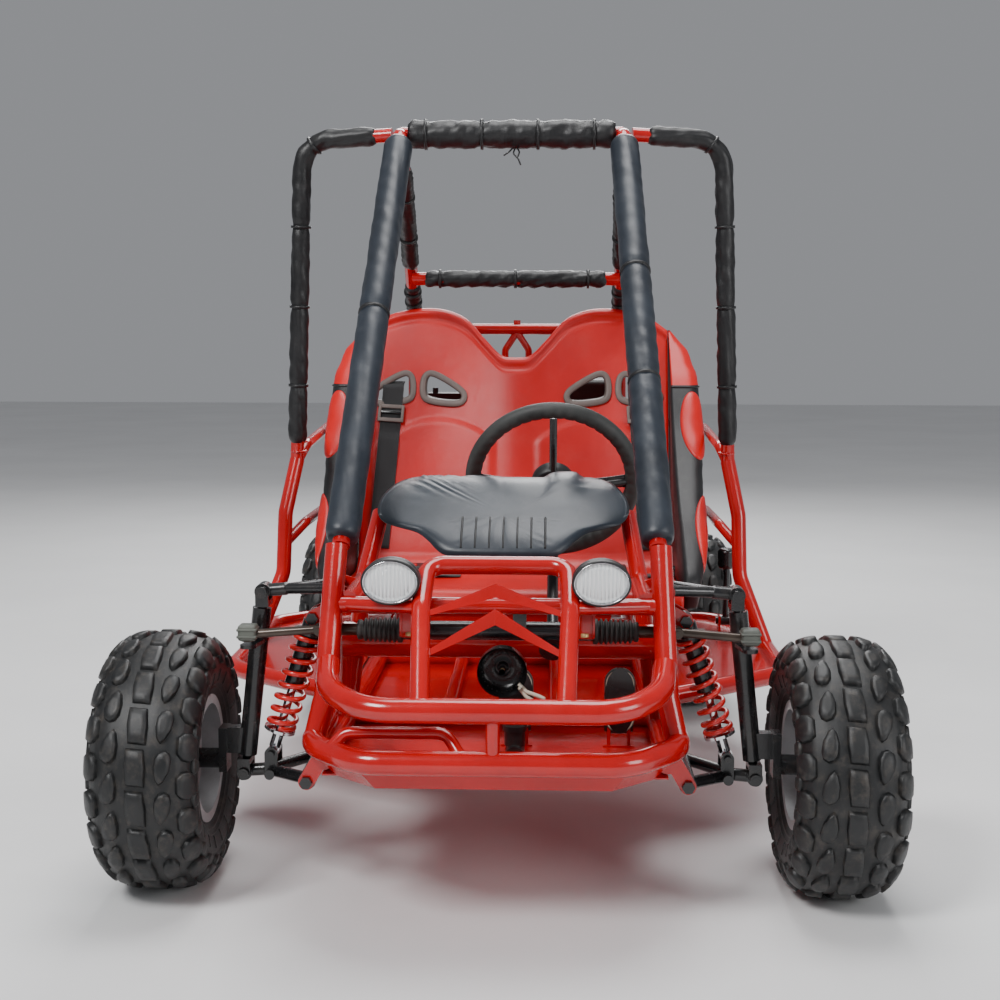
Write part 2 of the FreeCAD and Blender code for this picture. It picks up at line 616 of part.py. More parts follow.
def steering_shaft(ring):
    """Hub, three spokes, column shaft and pinion."""
    hub = rod(on_column(8), on_column(34), 26)
    shaft = rod(on_column(20), on_column(FOOT_S + 22), 8.0)
    pinion = rod(on_column(FOOT_S - 14), on_column(FOOT_S + 14), PINION_PITCH - 0.6)
    up = X.cross(COLUMN)
    spokes = []
    for angle in (0, 180, 270):
        c, s = math.cos(math.radians(angle)), math.sin(math.radians(angle))
        out = X * c + up * s
        spokes.append(tube([on_column(22) + out * 16, on_column(14) + out * 74, on_column(0) + out * 122], 6.0, 60))
    return fuse([hub, shaft, pinion] + spokes).cut(ring)


def column_bearing(frame):
    s = (DASH_BAR.y - WHEEL_CENTRE.y) / COLUMN.y
    low = pipe_ring(on_column(s - 16), on_column(s + 16), 15.0, 8.0 + RUN)
    saddle = box(STEER_X - 13, STEER_X + 13, DASH_BAR.y - 8, DASH_BAR.y + 8, DASH_BAR.z - 26, DASH_BAR.z - 2)
    hole = rod(on_column(s - 40), on_column(s + 40), 8.0 + RUN)
    return fuse([low, saddle]).cut(group([frame, hole]))


HOUSING_HALF, BELLOWS_END = 128.0, 190.0


def rack_housing(frame):
    centre = V(0, RACK_Y, RACK_Z)
    body = rod(centre - X * HOUSING_HALF, centre + X * HOUSING_HALF, 13.0)
    case = rod(on_column(FOOT_S - 18), on_column(FOOT_S + 18), 18.0)
    lugs, bolts = [], []
    for x in (-100.0, 30.0, 112.0):
        lugs.append(box(x - 9, x + 9, RACK_Y - 20, RACK_Y + 6, RACK_Z + 4, BAR_Z - 3))
    hollow = [rod(centre - X * 140, centre + X * 140, 8.0 + RUN),
              rod(on_column(FOOT_S - 14.5), on_column(FOOT_S + 14.5), PINION_PITCH - 0.2),
              rod(on_column(FOOT_S - 30), on_column(FOOT_S + 30), 8.0 + RUN)]
    return fuse([body, case] + lugs).cut(group([frame] + hollow))


def rack_bar():
    """Rack with a flat toothed side under it and a fork at each end."""
    centre = V(0, RACK_Y, RACK_Z)
    bar = rod(centre - X * (TIE_IN.x - 22), centre + X * (TIE_IN.x - 22), 8.0)
    cut_low = box(-60, 160, -30, 30, -20, -(FOOT_GAP - PINION_PITCH))
    cut_low.rotate(V(0, 0, 0), X, COLUMN_TILT)
    cut_low.translate(centre)
    made = [bar.cut(cut_low)]
    for s in SIDES:
        inner = mirrored(TIE_IN, s)
        for y_side in (-12.0, 8.0):
            made.append(ear(inner, 7.0, inner - X * 20 * s, 4.0, y_side))
        made.append(box(min(inner.x - 24 * s, inner.x - 15 * s), max(inner.x - 24 * s, inner.x - 15 * s),
                        RACK_Y - 12, RACK_Y + 12, RACK_Z - 7, RACK_Z + 7))
        made.append(rod(inner - Y * 14, inner + Y * 14, 3.5))
    return fuse(made)


def bellows(s):
    """A rubber boot from the housing to the rack bar: outer folds over a plain bore."""
    outline = [(HOUSING_HALF + 0.3, 9.0), (HOUSING_HALF + 0.3, 14.5), (HOUSING_HALF + 6, 14.5)]
    folds = 7
    pitch = (BELLOWS_END - HOUSING_HALF - 12) / folds
    for k in range(folds):
        x = HOUSING_HALF + 6 + pitch * k
        outline += [(x + pitch * 0.25, 14.0), (x + pitch * 0.5, 18.0), (x + pitch * 0.8, 18.0)]
    outline += [(BELLOWS_END - 6, 12.5), (BELLOWS_END, 12.5), (BELLOWS_END, 9.0)]
    return revolve_x([(x * s, r) for x, r in outline], 0, RACK_Y, RACK_Z)


def tie_rod(s):
    a, b = mirrored(TIE_IN, s), mirrored(TIE_OUT, s)
    eye = Part.makeCylinder(8.0, 15.0, a - Y * 7.5, Y)
    bar = rod(a, b, 6.0)
    end = Part.makeSphere(9.0, b)
    boot = Part.makeCone(9.5, 7.5, 7.0, b - Z * 9.0, Z)
    return fuse([eye, bar, end, boot]).cut(rod(a - Y * 10, a + Y * 10, 3.5 + RUN))


# --- front suspension -----------------------------------------------------------------------------------------
def control_arm(inner, span, s, r):
    """A wishbone: an inner barrel on the frame's bolt, two legs to a neck, and an outer barrel."""
    a, b = mirrored(inner, s), mirrored(inner + ARM, s)
    neck = b + (a - b) * 0.3
    parts = [rod(a - Y * span / 2, a + Y * span / 2, BARREL_R), rod(b - Y * 13, b + Y * 13, BARREL_R - 1)]
    parts.append(rod(neck, b, 9.0))
    parts.append(Part.makeSphere(9.0, neck))
    for k in (-1, 1):
        parts.append(rod(a + Y * k * (span / 2 - 11), neck, r))
    bores = [rod(a - Y * span, a + Y * span, PIVOT_BOLT_R + RUN), rod(b - Y * 20, b + Y * 20, PIVOT_BOLT_R + RUN)]
    return parts, bores


def lower_arm(s):
    parts, bores = control_arm(LOWER_IN, LOWER_SPAN, s, 8.5)
    foot = mirrored(V(SHOCK_LOW.x, AXLE_FRONT_Y, LOWER_IN.z - 5), s)
    parts.append(rod(foot - Y * 34, foot + Y * 34, 7.0))
    for y_side in (-SHOCK_EAR_OUT, SHOCK_EAR_OUT - EAR_T):
        parts.append(ear(mirrored(SHOCK_LOW, s), 9.0, foot, EAR_T, y_side))
    low = mirrored(SHOCK_LOW, s)
    for y0, y1 in ((-SHOCK_EAR_OUT - 6, -SHOCK_EAR_OUT + EAR_T), (SHOCK_EAR_OUT - EAR_T, SHOCK_EAR_OUT + 6)):
        parts.append(rod(low + Y * y0, low + Y * y1, PIVOT_BOLT_R))
    return fuse(parts).cut(group(bores))


def upper_arm(s):
    parts, bores = control_arm(UPPER_IN, UPPER_SPAN, s, 7.5)
    return fuse(parts).cut(group(bores))


KING_LEN = (UPPER_OUT - LOWER_OUT).Length
KING_DIR = V(UPPER_OUT - LOWER_OUT).normalize()
KING_R = 6.5


def on_king(distance, s):
    return mirrored(LOWER_OUT + KING_DIR * distance, s)


def kingpin(s):
    """Clevis blocks that ride on the outer barrels, joined by the kingpin, with their two bolts."""
    parts = [rod(on_king(14, s), on_king(KING_LEN - 14, s), KING_R)]
    for pivot, up in ((LOWER_OUT, 1), (UPPER_OUT, -1)):
        c = mirrored(pivot, s)
        z0, z1 = sorted((c.z + 12.5 * up, c.z + 20.5 * up))
        parts.append(box(c.x - 9, c.x + 9, c.y - 18.5, c.y + 18.5, z0, z1))
        for y_side in (-18.5, 13.5):
            parts.append(ear(c, 9.0, c + Z * 16 * up, 5.0, y_side))
        parts.append(rod(c - Y * 24, c + Y * 24, PIVOT_BOLT_R))
        for y_side in (-23.5, 18.5):
            parts.append(rod(c + Y * y_side, c + Y * (y_side + 5), 8.0))
    return fuse(parts)


def knuckle(s):
    """Steering tube on the kingpin, drop bracket with the stub axle and its nut, and the steering arm."""
    sleeve = rod(on_king(24, s), on_king(KING_LEN - 24, s), 13.0)

    def sbox(x0, x1, y0, y1, z0, z1):
        return box(min(x0 * s, x1 * s), max(x0 * s, x1 * s), y0, y1, z0, z1)
    wing = sbox(350, 390, AXLE_FRONT_Y - 10, AXLE_FRONT_Y + 10, 190, 226)
    drop = sbox(379, 390, AXLE_FRONT_Y - 15, AXLE_FRONT_Y + 15, 164, 226)
    hub = mirrored(V(385, AXLE_FRONT_Y, AXLE_Z), s)
    spindle = rod(hub, hub + X * s * (FRONT_TRACK / 2 + 42 - 385), STUB_R)
    nut = rod(mirrored(V(FRONT_TRACK / 2 + 35.5, AXLE_FRONT_Y, AXLE_Z), s),
              mirrored(V(FRONT_TRACK / 2 + 45.5, AXLE_FRONT_Y, AXLE_Z), s), 14.0)
    collar = rod(hub, hub + X * s * (FRONT_TRACK / 2 - 35.5 - 385), 14.0)
    top = TIE_OUT.z - 9.0 - STEER_GAP
    root = on_king((top - LOWER_OUT.z) / KING_DIR.z, s)
    end = mirrored(TIE_OUT, s)
    arm = plate([V(root.x - 11, root.y, top - 5), V(end.x - 10, end.y, top - 5), V(end.x + 10, end.y, top - 5),
                 V(root.x + 11, root.y, top - 5)], V(0, 0, 5))
    eye = Part.makeCylinder(11, 5, V(end.x, end.y, top - 5), Z)
    bore = rod(on_king(0, s), on_king(KING_LEN, s), KING_R + RUN)
    return fuse([sleeve, wing, drop, spindle, nut, collar, arm, eye]).cut(bore)


def shock(top, low, axis, seat_r, wire_r):
    """Shock absorber: body with the top eye, rod with the low eye, and the coil spring between the seats."""
    u = (low - top).normalize()
    length = (low - top).Length
    body = fuse([Part.makeCylinder(10, 30, top - axis * 15, axis), rod(top + u * 6, top + u * length * 0.52, 13.0),
                 rod(top + u * 22, top + u * 26, seat_r)])
    body = body.cut(group([rod(top + u * 30, top + u * length, 6.0 + RUN), rod(top - axis * 20, top + axis * 20, PIVOT_BOLT_R)]))
    piston = fuse([Part.makeCylinder(9.0, 26, low - axis * 13, axis), rod(top + u * length * 0.34, low - u * 6, 6.0),
                   rod(low - u * 34, low - u * 30, seat_r), rod(low - u * 31, low - u * 6, 8.0)])
    piston = piston.cut(rod(low - axis * 20, low + axis * 20, PIVOT_BOLT_R))
    reach = length - 34.3 - 26.3 - 2 * wire_r
    turns = max(5, round(reach / (wire_r * 4.6)))
    coil_r = seat_r - wire_r
    helix = Part.makeHelix(reach / turns, reach, coil_r)
    section = Part.Wire(Part.Circle(V(coil_r, 0, 0), Y, wire_r).toShape())
    coil = Part.Wire(helix).makePipeShell([section], True, True)
    coil.Placement = FreeCAD.Placement(top + u * (26.3 + wire_r), FreeCAD.Rotation(Z, u))
    return body, piston, coil


def front_shock(s):
    return shock(mirrored(SHOCK_TOP, s), mirrored(SHOCK_LOW, s), Y, 22.0, 3.6)


def rear_shock():
    return shock(REAR_SHOCK_TOP, REAR_SHOCK_LOW, X, 27.0, 4.6)


# --- wheels ---------------------------------------------------------------------------------------------------
def tyre(centre_x, y, half):
    """A hollow low-pressure tyre, half its width from the centre plane, open at the beads."""
    k = half / 75.0
    outer = [(-56, RIM_SEAT_R), (-56, 92), (-64 * k, 98), (-75 * k, 122), (-75 * k, 150), (-67 * k, 168),
             (-44 * k, 178), (-20 * k, TYRE_R)]
    inner = [(50, RIM_SEAT_R), (51, 94), (62 * k, 104), (68 * k, 124), (67 * k, 148), (54 * k, 160), (16 * k, 163)]
    outline = outer + [(-x, r) for x, r in reversed(outer)] + inner + [(-x, r) for x, r in reversed(inner)]
    return revolve_x(outline, centre_x, y, AXLE_Z)


def rim(centre_x, y, s, bore, hub_r, hub_half):
    """A pressed rim: flanges, bead seats, a dished disc with round windows, and the hub."""
    outline = [(-59.5, RIM_SEAT_R - 4), (-59.5, 89), (-56.3, 89), (-56.3, RIM_SEAT_R - 0.3), (-30, RIM_SEAT_R - 0.3),
               (-24, 70), (24, 70), (30, RIM_SEAT_R - 0.3), (56.3, RIM_SEAT_R - 0.3), (56.3, 89), (59.5, 89),
               (59.5, RIM_SEAT_R - 4), (30, RIM_SEAT_R - 4), (23, 66.5), (18, 60), (24, 30), (hub_half, hub_r),
               (hub_half, bore), (-hub_half, bore), (-hub_half, hub_r), (16, hub_r + 2), (12, 60), (6, 66.5),
               (-23, 66.5), (-30, RIM_SEAT_R - 4)]
    solid = revolve_x([(x * s, r) for x, r in outline], centre_x, y, AXLE_Z)
    windows = []
    for k in range(6):
        angle = math.radians(60 * k)
        at = V(centre_x - 40, y + 44 * math.sin(angle), AXLE_Z + 44 * math.cos(angle))
        windows.append(Part.makeCylinder(8.5, 90, at, X))
    return solid.cut(group(windows))


def front_rim(s):
    return rim(s * FRONT_TRACK / 2, AXLE_FRONT_Y, s, STUB_R + RUN, 19.0, 35.0)


def rear_rims():
    return group([rim(s * REAR_TRACK / 2, AXLE_REAR_Y, s, REAR_AXLE_R, 26.0, 35.0) for s in SIDES])


# --- rear swing arm, axle and engine --------------------------------------------------------------------------
BEAM_X = 145.0


def arm_z(y):
    """Height of the swing arm's beams at a place along the kart."""
    return SWING_Z + (AXLE_Z - SWING_Z) * (y - SWING_Y) / (AXLE_REAR_Y - SWING_Y)


def swing_arm():
    parts, bores = [], []
    for s in SIDES:
        x = BEAM_X * s
        parts.append(rod(V(x - 22.5, SWING_Y, SWING_Z), V(x + 22.5, SWING_Y, SWING_Z), 16.0))
        parts.append(rod(V(x, SWING_Y, SWING_Z), V(x, AXLE_REAR_Y, AXLE_Z), 14.0))
        parts.append(rod(V(x - 14, AXLE_REAR_Y, AXLE_Z), V(x + 14, AXLE_REAR_Y, AXLE_Z), 28.0))
        bores.append(rod(V(x - 30, SWING_Y, SWING_Z), V(x + 30, SWING_Y, SWING_Z), 8.0 + RUN))
    low = REAR_SHOCK_LOW
    parts.append(rod(V(-BEAM_X, 345, arm_z(345)), V(BEAM_X, 345, arm_z(345)), 11.0))
    parts.append(rod(V(-81, low.y, arm_z(low.y)), V(81, low.y, arm_z(low.y)), 11.0))
    for x in (-59.0, 75.0):
        parts.append(rod(V(x, 345, arm_z(345)), V(x, low.y, arm_z(low.y)), 9.0))
    for x in (-21.0, 15.5):
        eye = Part.makeCylinder(10, 5.5, V(x, low.y, low.z), X)
        parts.append(fuse([eye, box(x, x + 5.5, low.y - 10, low.y + 10, arm_z(low.y), low.z)]))
    for x in (-62.0, 72.0):
        outline = [V(x, 470, arm_z(470)), V(x, 488, arm_z(488)), V(x, 540, 236), V(x, 540, 262), V(x, 508, 262)]
        parts.append(plate(outline, V(6, 0, 0)))
    bores.append(rod(V(-200, AXLE_REAR_Y, AXLE_Z), V(200, AXLE_REAR_Y, AXLE_Z), REAR_AXLE_R + RUN))
    caliper = box(-112, -78, 612, 652, 176, 232).cut(box(-98.5, -91.5, 600, 636, 170, 240))
    hanger = fuse([box(-112, -106, 500, 640, 184, 212), box(-148, -106, 492, 512, 182, 202)])
    return fuse(parts + [caliper, hanger]).cut(group(bores))


def toothed_disc(centre, outer_r, teeth, thickness):
    """A sprocket blank: a flat disc with a pointed tooth for each chain pitch."""
    points = []
    for k in range(teeth * 2):
        r = outer_r if k % 2 == 0 else outer_r - 4.0
        angle = math.pi * k / teeth
        points.append(centre + V(0, r * math.cos(angle), r * math.sin(angle)))
    return plate(points, X * thickness)


def rear_axle():
    """Live axle with its sprocket and brake disc."""
    centre = V(0, AXLE_REAR_Y, AXLE_Z)
    half = REAR_TRACK / 2 + 40
    parts = [rod(centre - X * half, centre + X * half, REAR_AXLE_R)]
    parts.append(toothed_disc(centre + X * (SPROCKET_X - 3), SPROCKET_R, 37, 6.0))
    parts.append(rod(centre + X * 84, centre + X * 104, 26))
    disc = rod(centre - X * 97, centre - X * 93, 84).cut(group(
        [Part.makeCylinder(6, 12, V(-101, AXLE_REAR_Y + 62 * math.cos(k * math.pi / 5),
                                   AXLE_Z + 62 * math.sin(k * math.pi / 5)), X) for k in range(10)]))
    parts += [disc, rod(centre - X * 104, centre - X * 86, 26)]
    for s in SIDES:
        parts.append(rod(centre + X * s * (REAR_TRACK / 2 + 35), centre + X * s * (REAR_TRACK / 2 + 46), 16))
    return fuse(parts)


def output_sprocket():
    return fuse([toothed_disc(OUTPUT - X * 3, PINION_R, 11, 6.0), rod(OUTPUT - X * 9.5, OUTPUT + X * 5, 9.0)])


def chain():
    """The drive chain as one closed band round both sprockets."""
    rear = V(SPROCKET_X, AXLE_REAR_Y, AXLE_Z)

    def band(extra, x0, x1):
        big, small = SPROCKET_R + extra, PINION_R + extra
        gap = (OUTPUT - rear).Length
        lean = math.asin((big - small) / gap)
        u = (OUTPUT - rear).normalize()
        n = V(0, -u.z, u.y)
        quad = [rear + (n * math.cos(lean) + u * math.sin(lean)) * big,
                OUTPUT + (n * math.cos(lean) + u * math.sin(lean)) * small,
                OUTPUT + (n * -math.cos(lean) + u * math.sin(lean)) * small,
                rear + (n * -math.cos(lean) + u * math.sin(lean)) * big]
        shift = X * (x0 - SPROCKET_X)
        web = plate([p + shift for p in quad], X * (x1 - x0))
        return fuse([web, Part.makeCylinder(big, x1 - x0, rear + shift, X),
                     Part.makeCylinder(small, x1 - x0, OUTPUT + shift, X)])
    return band(7.0, SPROCKET_X - 4, SPROCKET_X + 4).cut(band(0.6, SPROCKET_X - 10, SPROCKET_X + 10))


def engine():
    """Crankcase, finned barrel, head with its cover, and side covers, bolted to the swing arm's plates."""
    case = rounded_box(-56, 72, 512, 668, 234, 340, 12)
    clutch = Part.makeCylinder(52, 26, V(-80, 600, 288), X)
    flywheel = Part.makeCylinder(30, 12, V(70, 620, 286), X)
    barrel = [box(-34, 50, 540, 620, 338, 424)]
    for k in range(8):
        barrel.append(box(-44, 60, 530, 630, 346 + k * 10, 350 + k * 10))
    head = rounded_box(-40, 56, 534, 626, 424, 462, 8)
    cap = Part.makeCylinder(20, 10, V(8, 580, 460), Z)
    hole = rod(OUTPUT - X * 30, OUTPUT + X * 10, 9.0 + RUN)
    return fuse([case, clutch, flywheel, head, cap] + barrel).cut(hole)


def intake(motor):
    """Intake stub, carburettor and a round air filter, on the left of the barrel."""
    stub = rod(V(48, 581, 410), V(74, 581, 410), 12)
    carb = rounded_box(68, 106, 560, 602, 388, 436, 5)
    bowl = Part.makeCylinder(14, 18, V(87, 581, 372), Z)
    pod = Part.makeCone(22, 29, 46, V(104, 581, 413), V(0.98, 0.15, 0.1))
    return fuse([stub, carb, bowl, pod]).cut(motor)


def exhaust(motor):
    """Header pipe from the head down to a short silencer behind the crankcase."""
    pipe = tube([V(-38, 580, 446), V(-92, 580, 446), V(-104, 582, 380), V(-112, 640, 328), V(-112, 704, 318)], 11.0, 30)
    can = Part.makeCylinder(32, 114, V(-148, 706, 318), X)
    tail = rod(V(-62, 706, 300), V(-62, 716, 268), 9.0)
    return fuse([pipe, can, tail]).cut(motor)


# --- controls, tank, battery ----------------------------------------------------------------------------------
def pedal(x, pad_w):
    """Pivot barrel, arm and an upright oval pad."""
    p = V(x, PEDAL_PIVOT.y, PEDAL_PIVOT.z)
    barrel = rod(p - X * 11, p + X * 11, 9.0)
    arm = plate([V(x - 5, p.y - 4, p.z - 6), V(x - 5, p.y - 4, p.z + 8), V(x - 5, -552, 282), V(x - 5, -556, 250)],
                V(10, 0, 0))
    pad = ellipse_disc(V(x, -562, 273), pad_w, 46, 9) if pad_w >= 46 else tall_pad(x, pad_w)
    return fuse([barrel, arm, pad]).cut(rod(p - X * 20, p + X * 20, 4.0 + RUN))


def tall_pad(x, half):
    ring = Part.Ellipse(V(0, 0, 0), 46, half).toShape()
    face = Part.Face(Part.Wire(ring))
    face.Placement = FreeCAD.Placement(V(x, -562, 273), FreeCAD.Rotation(V(0, 0, 1), V(1, 0, 0), V(0, -1, 0), "XYZ"))
    solid = face.extrude(V(0, 9, 0))
    turned = solid.copy()
    turned.rotate(V(x, -562, 273), Y, 90)
    return turned if turned.BoundBox.ZLength > turned.BoundBox.XLength else solid


def pedal_pins():
    made = []
    for x in PEDAL_XS:
        p = V(x, PEDAL_PIVOT.y, PEDAL_PIVOT.z)
        made.append(fuse([rod(p - X * 18, p + X * 18, 4.0), rod(p - X * 20, p - X * 16.2, 6.5),
                          rod(p + X * 16.2, p + X * 20, 6.5)]))
    p = SHIFT_PIVOT
    made.append(fuse([rod(p - X * 17, p + X * 17, 4.0), rod(p - X * 18, p - X * 14.2, 6.5),
                      rod(p + X * 14.2, p + X * 18, 6.5)]))
    return made


def master_cylinder():
    body = rod(V(25, -664, 222), V(25, -606, 222), 13.0)
    base = box(4, 46, -660, -612, FLOOR_Z + 0.3, 214)
    cup = Part.makeCylinder(14, 20, V(25, -640, 232), Z)
    cap = Part.makeCylinder(16, 7, V(25, -640, 252), Z)
    return fuse([body, base, cup, cap])


def shift_lever():
    p = SHIFT_PIVOT
    barrel = rod(p - X * 9.5, p + X * 9.5, 8.5)
    bar = rod(p, p + Z * 96, 6.0)
    knob = Part.makeCylinder(17, 38, p + Z * 96, Z)
    knob = knob.makeFillet(8, [e for e in knob.Edges if e.Length > 50 and isinstance(e.Curve, Part.Circle)])
    return fuse([barrel, bar, knob]).cut(rod(p - X * 20, p + X * 20, 4.0 + RUN))


def fuel_tank():
    tank = rounded_box(40, 190, 506, 640, RACK_TOP + 0.3, 680, 14)
    neck = Part.makeCylinder(20, 14, V(115, 573, 678), Z)
    cap = Part.makeCylinder(27, 14, V(115, 573, 692), Z)
    return fuse([tank, neck, cap])


def battery():
    case = box(-186, -60, 520, 600, RACK_TOP + 0.3, 650)
    posts = [Part.makeCylinder(6, 12, V(x, 535, 649), Z) for x in (-170.0, -76.0)]
    return fuse([case] + posts)


def build():
    os.makedirs(OUT, exist_ok=True)
    frame = main_frame()
    bumper = front_bumper(frame)
    side = side_frames(frame)
    cage_solid = cage()
    seat = seat_shell()
    ring = steering_wheel()
    save("main_frame", frame)
    save("front_bumper", bumper)
    save("floor_pan", floor_pan(frame, bumper))
    save("side_frames", side)
    save("rear_frame", rear_frame(frame, side).cut(cage_solid))
    save("roll_cage", cage_solid)
    save("side_hoops", side_hoops(cage_solid, side))
    save("cage_foam", group([pillar_foam(), roof_foam(), rear_foam(), hoop_foam()]))
    save("frame_bolts", group([frame_bolts()] + pedal_pins()).cut(frame))
    save("seat_shell", seat)
    save("seat_bolsters", seat_bolsters(seat, side))
    save("seat_belts", group([seat_belts(), belt_buckles()]))
    save("dash", dash(frame))
    save("headlamp_shells", headlamp_shells(frame, bumper))
    save("headlamp_lenses", headlamp_lenses())
    save("horn", horn(frame))
    save("steering_wheel", ring)
    save("steering_shaft", steering_shaft(ring))
    save("column_bearing", column_bearing(frame))
    save("rack_housing", rack_housing(frame))
    save("rack_bar", rack_bar())
    save("rear_axle", rear_axle())
    save("rear_rims", rear_rims())
    save("rear_tyres", group([tyre(s * REAR_TRACK / 2, AXLE_REAR_Y, 75.0) for s in SIDES]))
    save("swing_arm", swing_arm())
    save("output_sprocket", output_sprocket())
    save("chain", chain())
    motor = engine()
    save("engine", motor)
    save("intake", intake(motor))
    save("exhaust", exhaust(motor))
    save("brake_pedal", pedal(PEDAL_XS[0], 24.0))
    save("throttle_pedal", pedal(PEDAL_XS[1], 21.5))
    save("master_cylinder", master_cylinder())
    save("shift_lever", shift_lever())
    save("fuel_tank", fuel_tank())
    save("battery", battery())
    body, piston, coil = rear_shock()
    save("rear_shock_body", body)
    save("rear_shock_rod", piston)
    save("rear_spring", coil)
    bodies = []
    for s, name in ((LEFT, "left"), (RIGHT, "right")):
        save("bellows_" + name, bellows(s))
        save("tie_rod_" + name, tie_rod(s))
        save("lower_arm_" + name, lower_arm(s))
        save("upper_arm_" + name, upper_arm(s))
        save("kingpin_" + name, kingpin(s))
        save("knuckle_" + name, knuckle(s))
        save("front_rim_" + name, front_rim(s))
        save("front_tyre_" + name, tyre(s * FRONT_TRACK / 2, AXLE_FRONT_Y, 75.0))
        body, piston, coil = front_shock(s)
        bodies.append(body)
        save("shock_rod_" + name, piston)
        save("spring_" + name, coil)
    save("front_shock_bodies", group(bodies))


build()
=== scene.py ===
"""Looks of the two-seat off-road kart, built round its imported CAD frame. Metres, +Z up, the kart faces -Y."""
import bpy
import bmesh
import math
import random
from mathutils import Matrix, Quaternion, Vector


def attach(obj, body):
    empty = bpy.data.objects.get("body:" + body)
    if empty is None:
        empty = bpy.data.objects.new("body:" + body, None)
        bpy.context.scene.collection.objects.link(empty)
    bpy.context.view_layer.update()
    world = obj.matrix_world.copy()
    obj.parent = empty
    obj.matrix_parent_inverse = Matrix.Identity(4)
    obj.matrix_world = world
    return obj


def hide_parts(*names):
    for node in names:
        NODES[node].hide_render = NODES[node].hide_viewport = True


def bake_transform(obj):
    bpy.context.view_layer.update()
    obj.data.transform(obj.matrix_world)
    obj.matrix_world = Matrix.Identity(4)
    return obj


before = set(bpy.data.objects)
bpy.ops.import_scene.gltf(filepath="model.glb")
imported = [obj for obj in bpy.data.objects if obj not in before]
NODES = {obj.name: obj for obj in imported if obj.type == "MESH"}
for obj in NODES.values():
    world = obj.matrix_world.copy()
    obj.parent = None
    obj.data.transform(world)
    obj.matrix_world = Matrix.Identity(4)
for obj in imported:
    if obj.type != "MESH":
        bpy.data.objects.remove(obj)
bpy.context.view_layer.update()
SIDES = ((1, "left"), (-1, "right"))
MM = 0.001


# --- materials ------------------------------------------------------------------------------------------------
def new_material(name):
    made = bpy.data.materials.new(name)
    made.use_nodes = True
    tree = made.node_tree
    return made, tree, tree.nodes["Principled BSDF"]


def node(tree, kind, **sockets):
    made = tree.nodes.new(kind)
    for key, value in sockets.items():
        made.inputs[key.replace("_", " ")].default_value = value
    return made


def object_coords(tree, scale=(1, 1, 1)):
    coords = tree.nodes.new("ShaderNodeTexCoord")
    mapping = tree.nodes.new("ShaderNodeMapping")
    mapping.inputs["Scale"].default_value = scale
    tree.links.new(coords.outputs["Object"], mapping.inputs["Vector"])
    return mapping.outputs["Vector"]


def ramp(tree, factor, low, high, c0, c1):
    made = tree.nodes.new("ShaderNodeValToRGB")
    made.color_ramp.elements[0].position = low
    made.color_ramp.elements[1].position = high
    made.color_ramp.elements[0].color = (*c0, 1)
    made.color_ramp.elements[1].color = (*c1, 1)
    tree.links.new(factor, made.inputs["Fac"])
    return made.outputs["Color"]


def span(tree, factor, low, high):
    made = tree.nodes.new("ShaderNodeMapRange")
    made.inputs["To Min"].default_value = low
    made.inputs["To Max"].default_value = high
    tree.links.new(factor, made.inputs["Value"])
    return made.outputs["Result"]


def bump(tree, shader, height, strength, distance, under=None):
    made = tree.nodes.new("ShaderNodeBump")
    made.inputs["Strength"].default_value = strength
    made.inputs["Distance"].default_value = distance
    tree.links.new(height, made.inputs["Height"])
    if under is not None:
        tree.links.new(under, made.inputs["Normal"])
    tree.links.new(made.outputs["Normal"], shader.inputs["Normal"])
    return made.outputs["Normal"]


def surface(name, dark, light, rough=(0.3, 0.45), metallic=0.0, patch=14.0, grain=900.0, grain_depth=0.0002,
            wave=0.0, coat=0.0, specular=0.5, dust=None, sheen=0.0):
    """A painted, moulded or metal finish: cloudy colour, uneven gloss, fine grain, slow waviness, dust in places."""
    made, tree, shader = new_material(name)
    links = tree.links
    where = object_coords(tree)
    cloud = node(tree, "ShaderNodeTexNoise", Scale=patch, Detail=6.0, Roughness=0.62)
    fine = node(tree, "ShaderNodeTexNoise", Scale=grain, Detail=3.0, Roughness=0.6)
    for each in (cloud, fine):
        links.new(where, each.inputs["Vector"])
    colour = ramp(tree, cloud.outputs["Fac"], 0.32, 0.68, dark, light)
    if dust:
        amount, tint = dust
        spots = node(tree, "ShaderNodeTexNoise", Scale=patch * 2.7, Detail=9.0, Roughness=0.72)
        links.new(where, spots.inputs["Vector"])
        mask = ramp(tree, spots.outputs["Fac"], 0.50, 0.74, (0, 0, 0), (amount, amount, amount))
        mix = tree.nodes.new("ShaderNodeMixRGB")
        mix.inputs["Color2"].default_value = (*tint, 1)
        links.new(mask, mix.inputs["Fac"])
        links.new(colour, mix.inputs["Color1"])
        colour = mix.outputs["Color"]
    links.new(colour, shader.inputs["Base Color"])
    links.new(span(tree, cloud.outputs["Fac"], rough[0], rough[1]), shader.inputs["Roughness"])
    shader.inputs["Metallic"].default_value = metallic
    shader.inputs["Specular IOR Level"].default_value = specular
    shader.inputs["Coat Weight"].default_value = coat
    shader.inputs["Coat Roughness"].default_value = 0.08
    shader.inputs["Sheen Weight"].default_value = sheen
    normal = bump(tree, shader, fine.outputs["Fac"], 0.5, grain_depth)
    if wave:
        slow = node(tree, "ShaderNodeTexNoise", Scale=38.0, Detail=2.0)
        links.new(where, slow.inputs["Vector"])
        bump(tree, shader, slow.outputs["Fac"], 0.6, wave, normal)
    return made


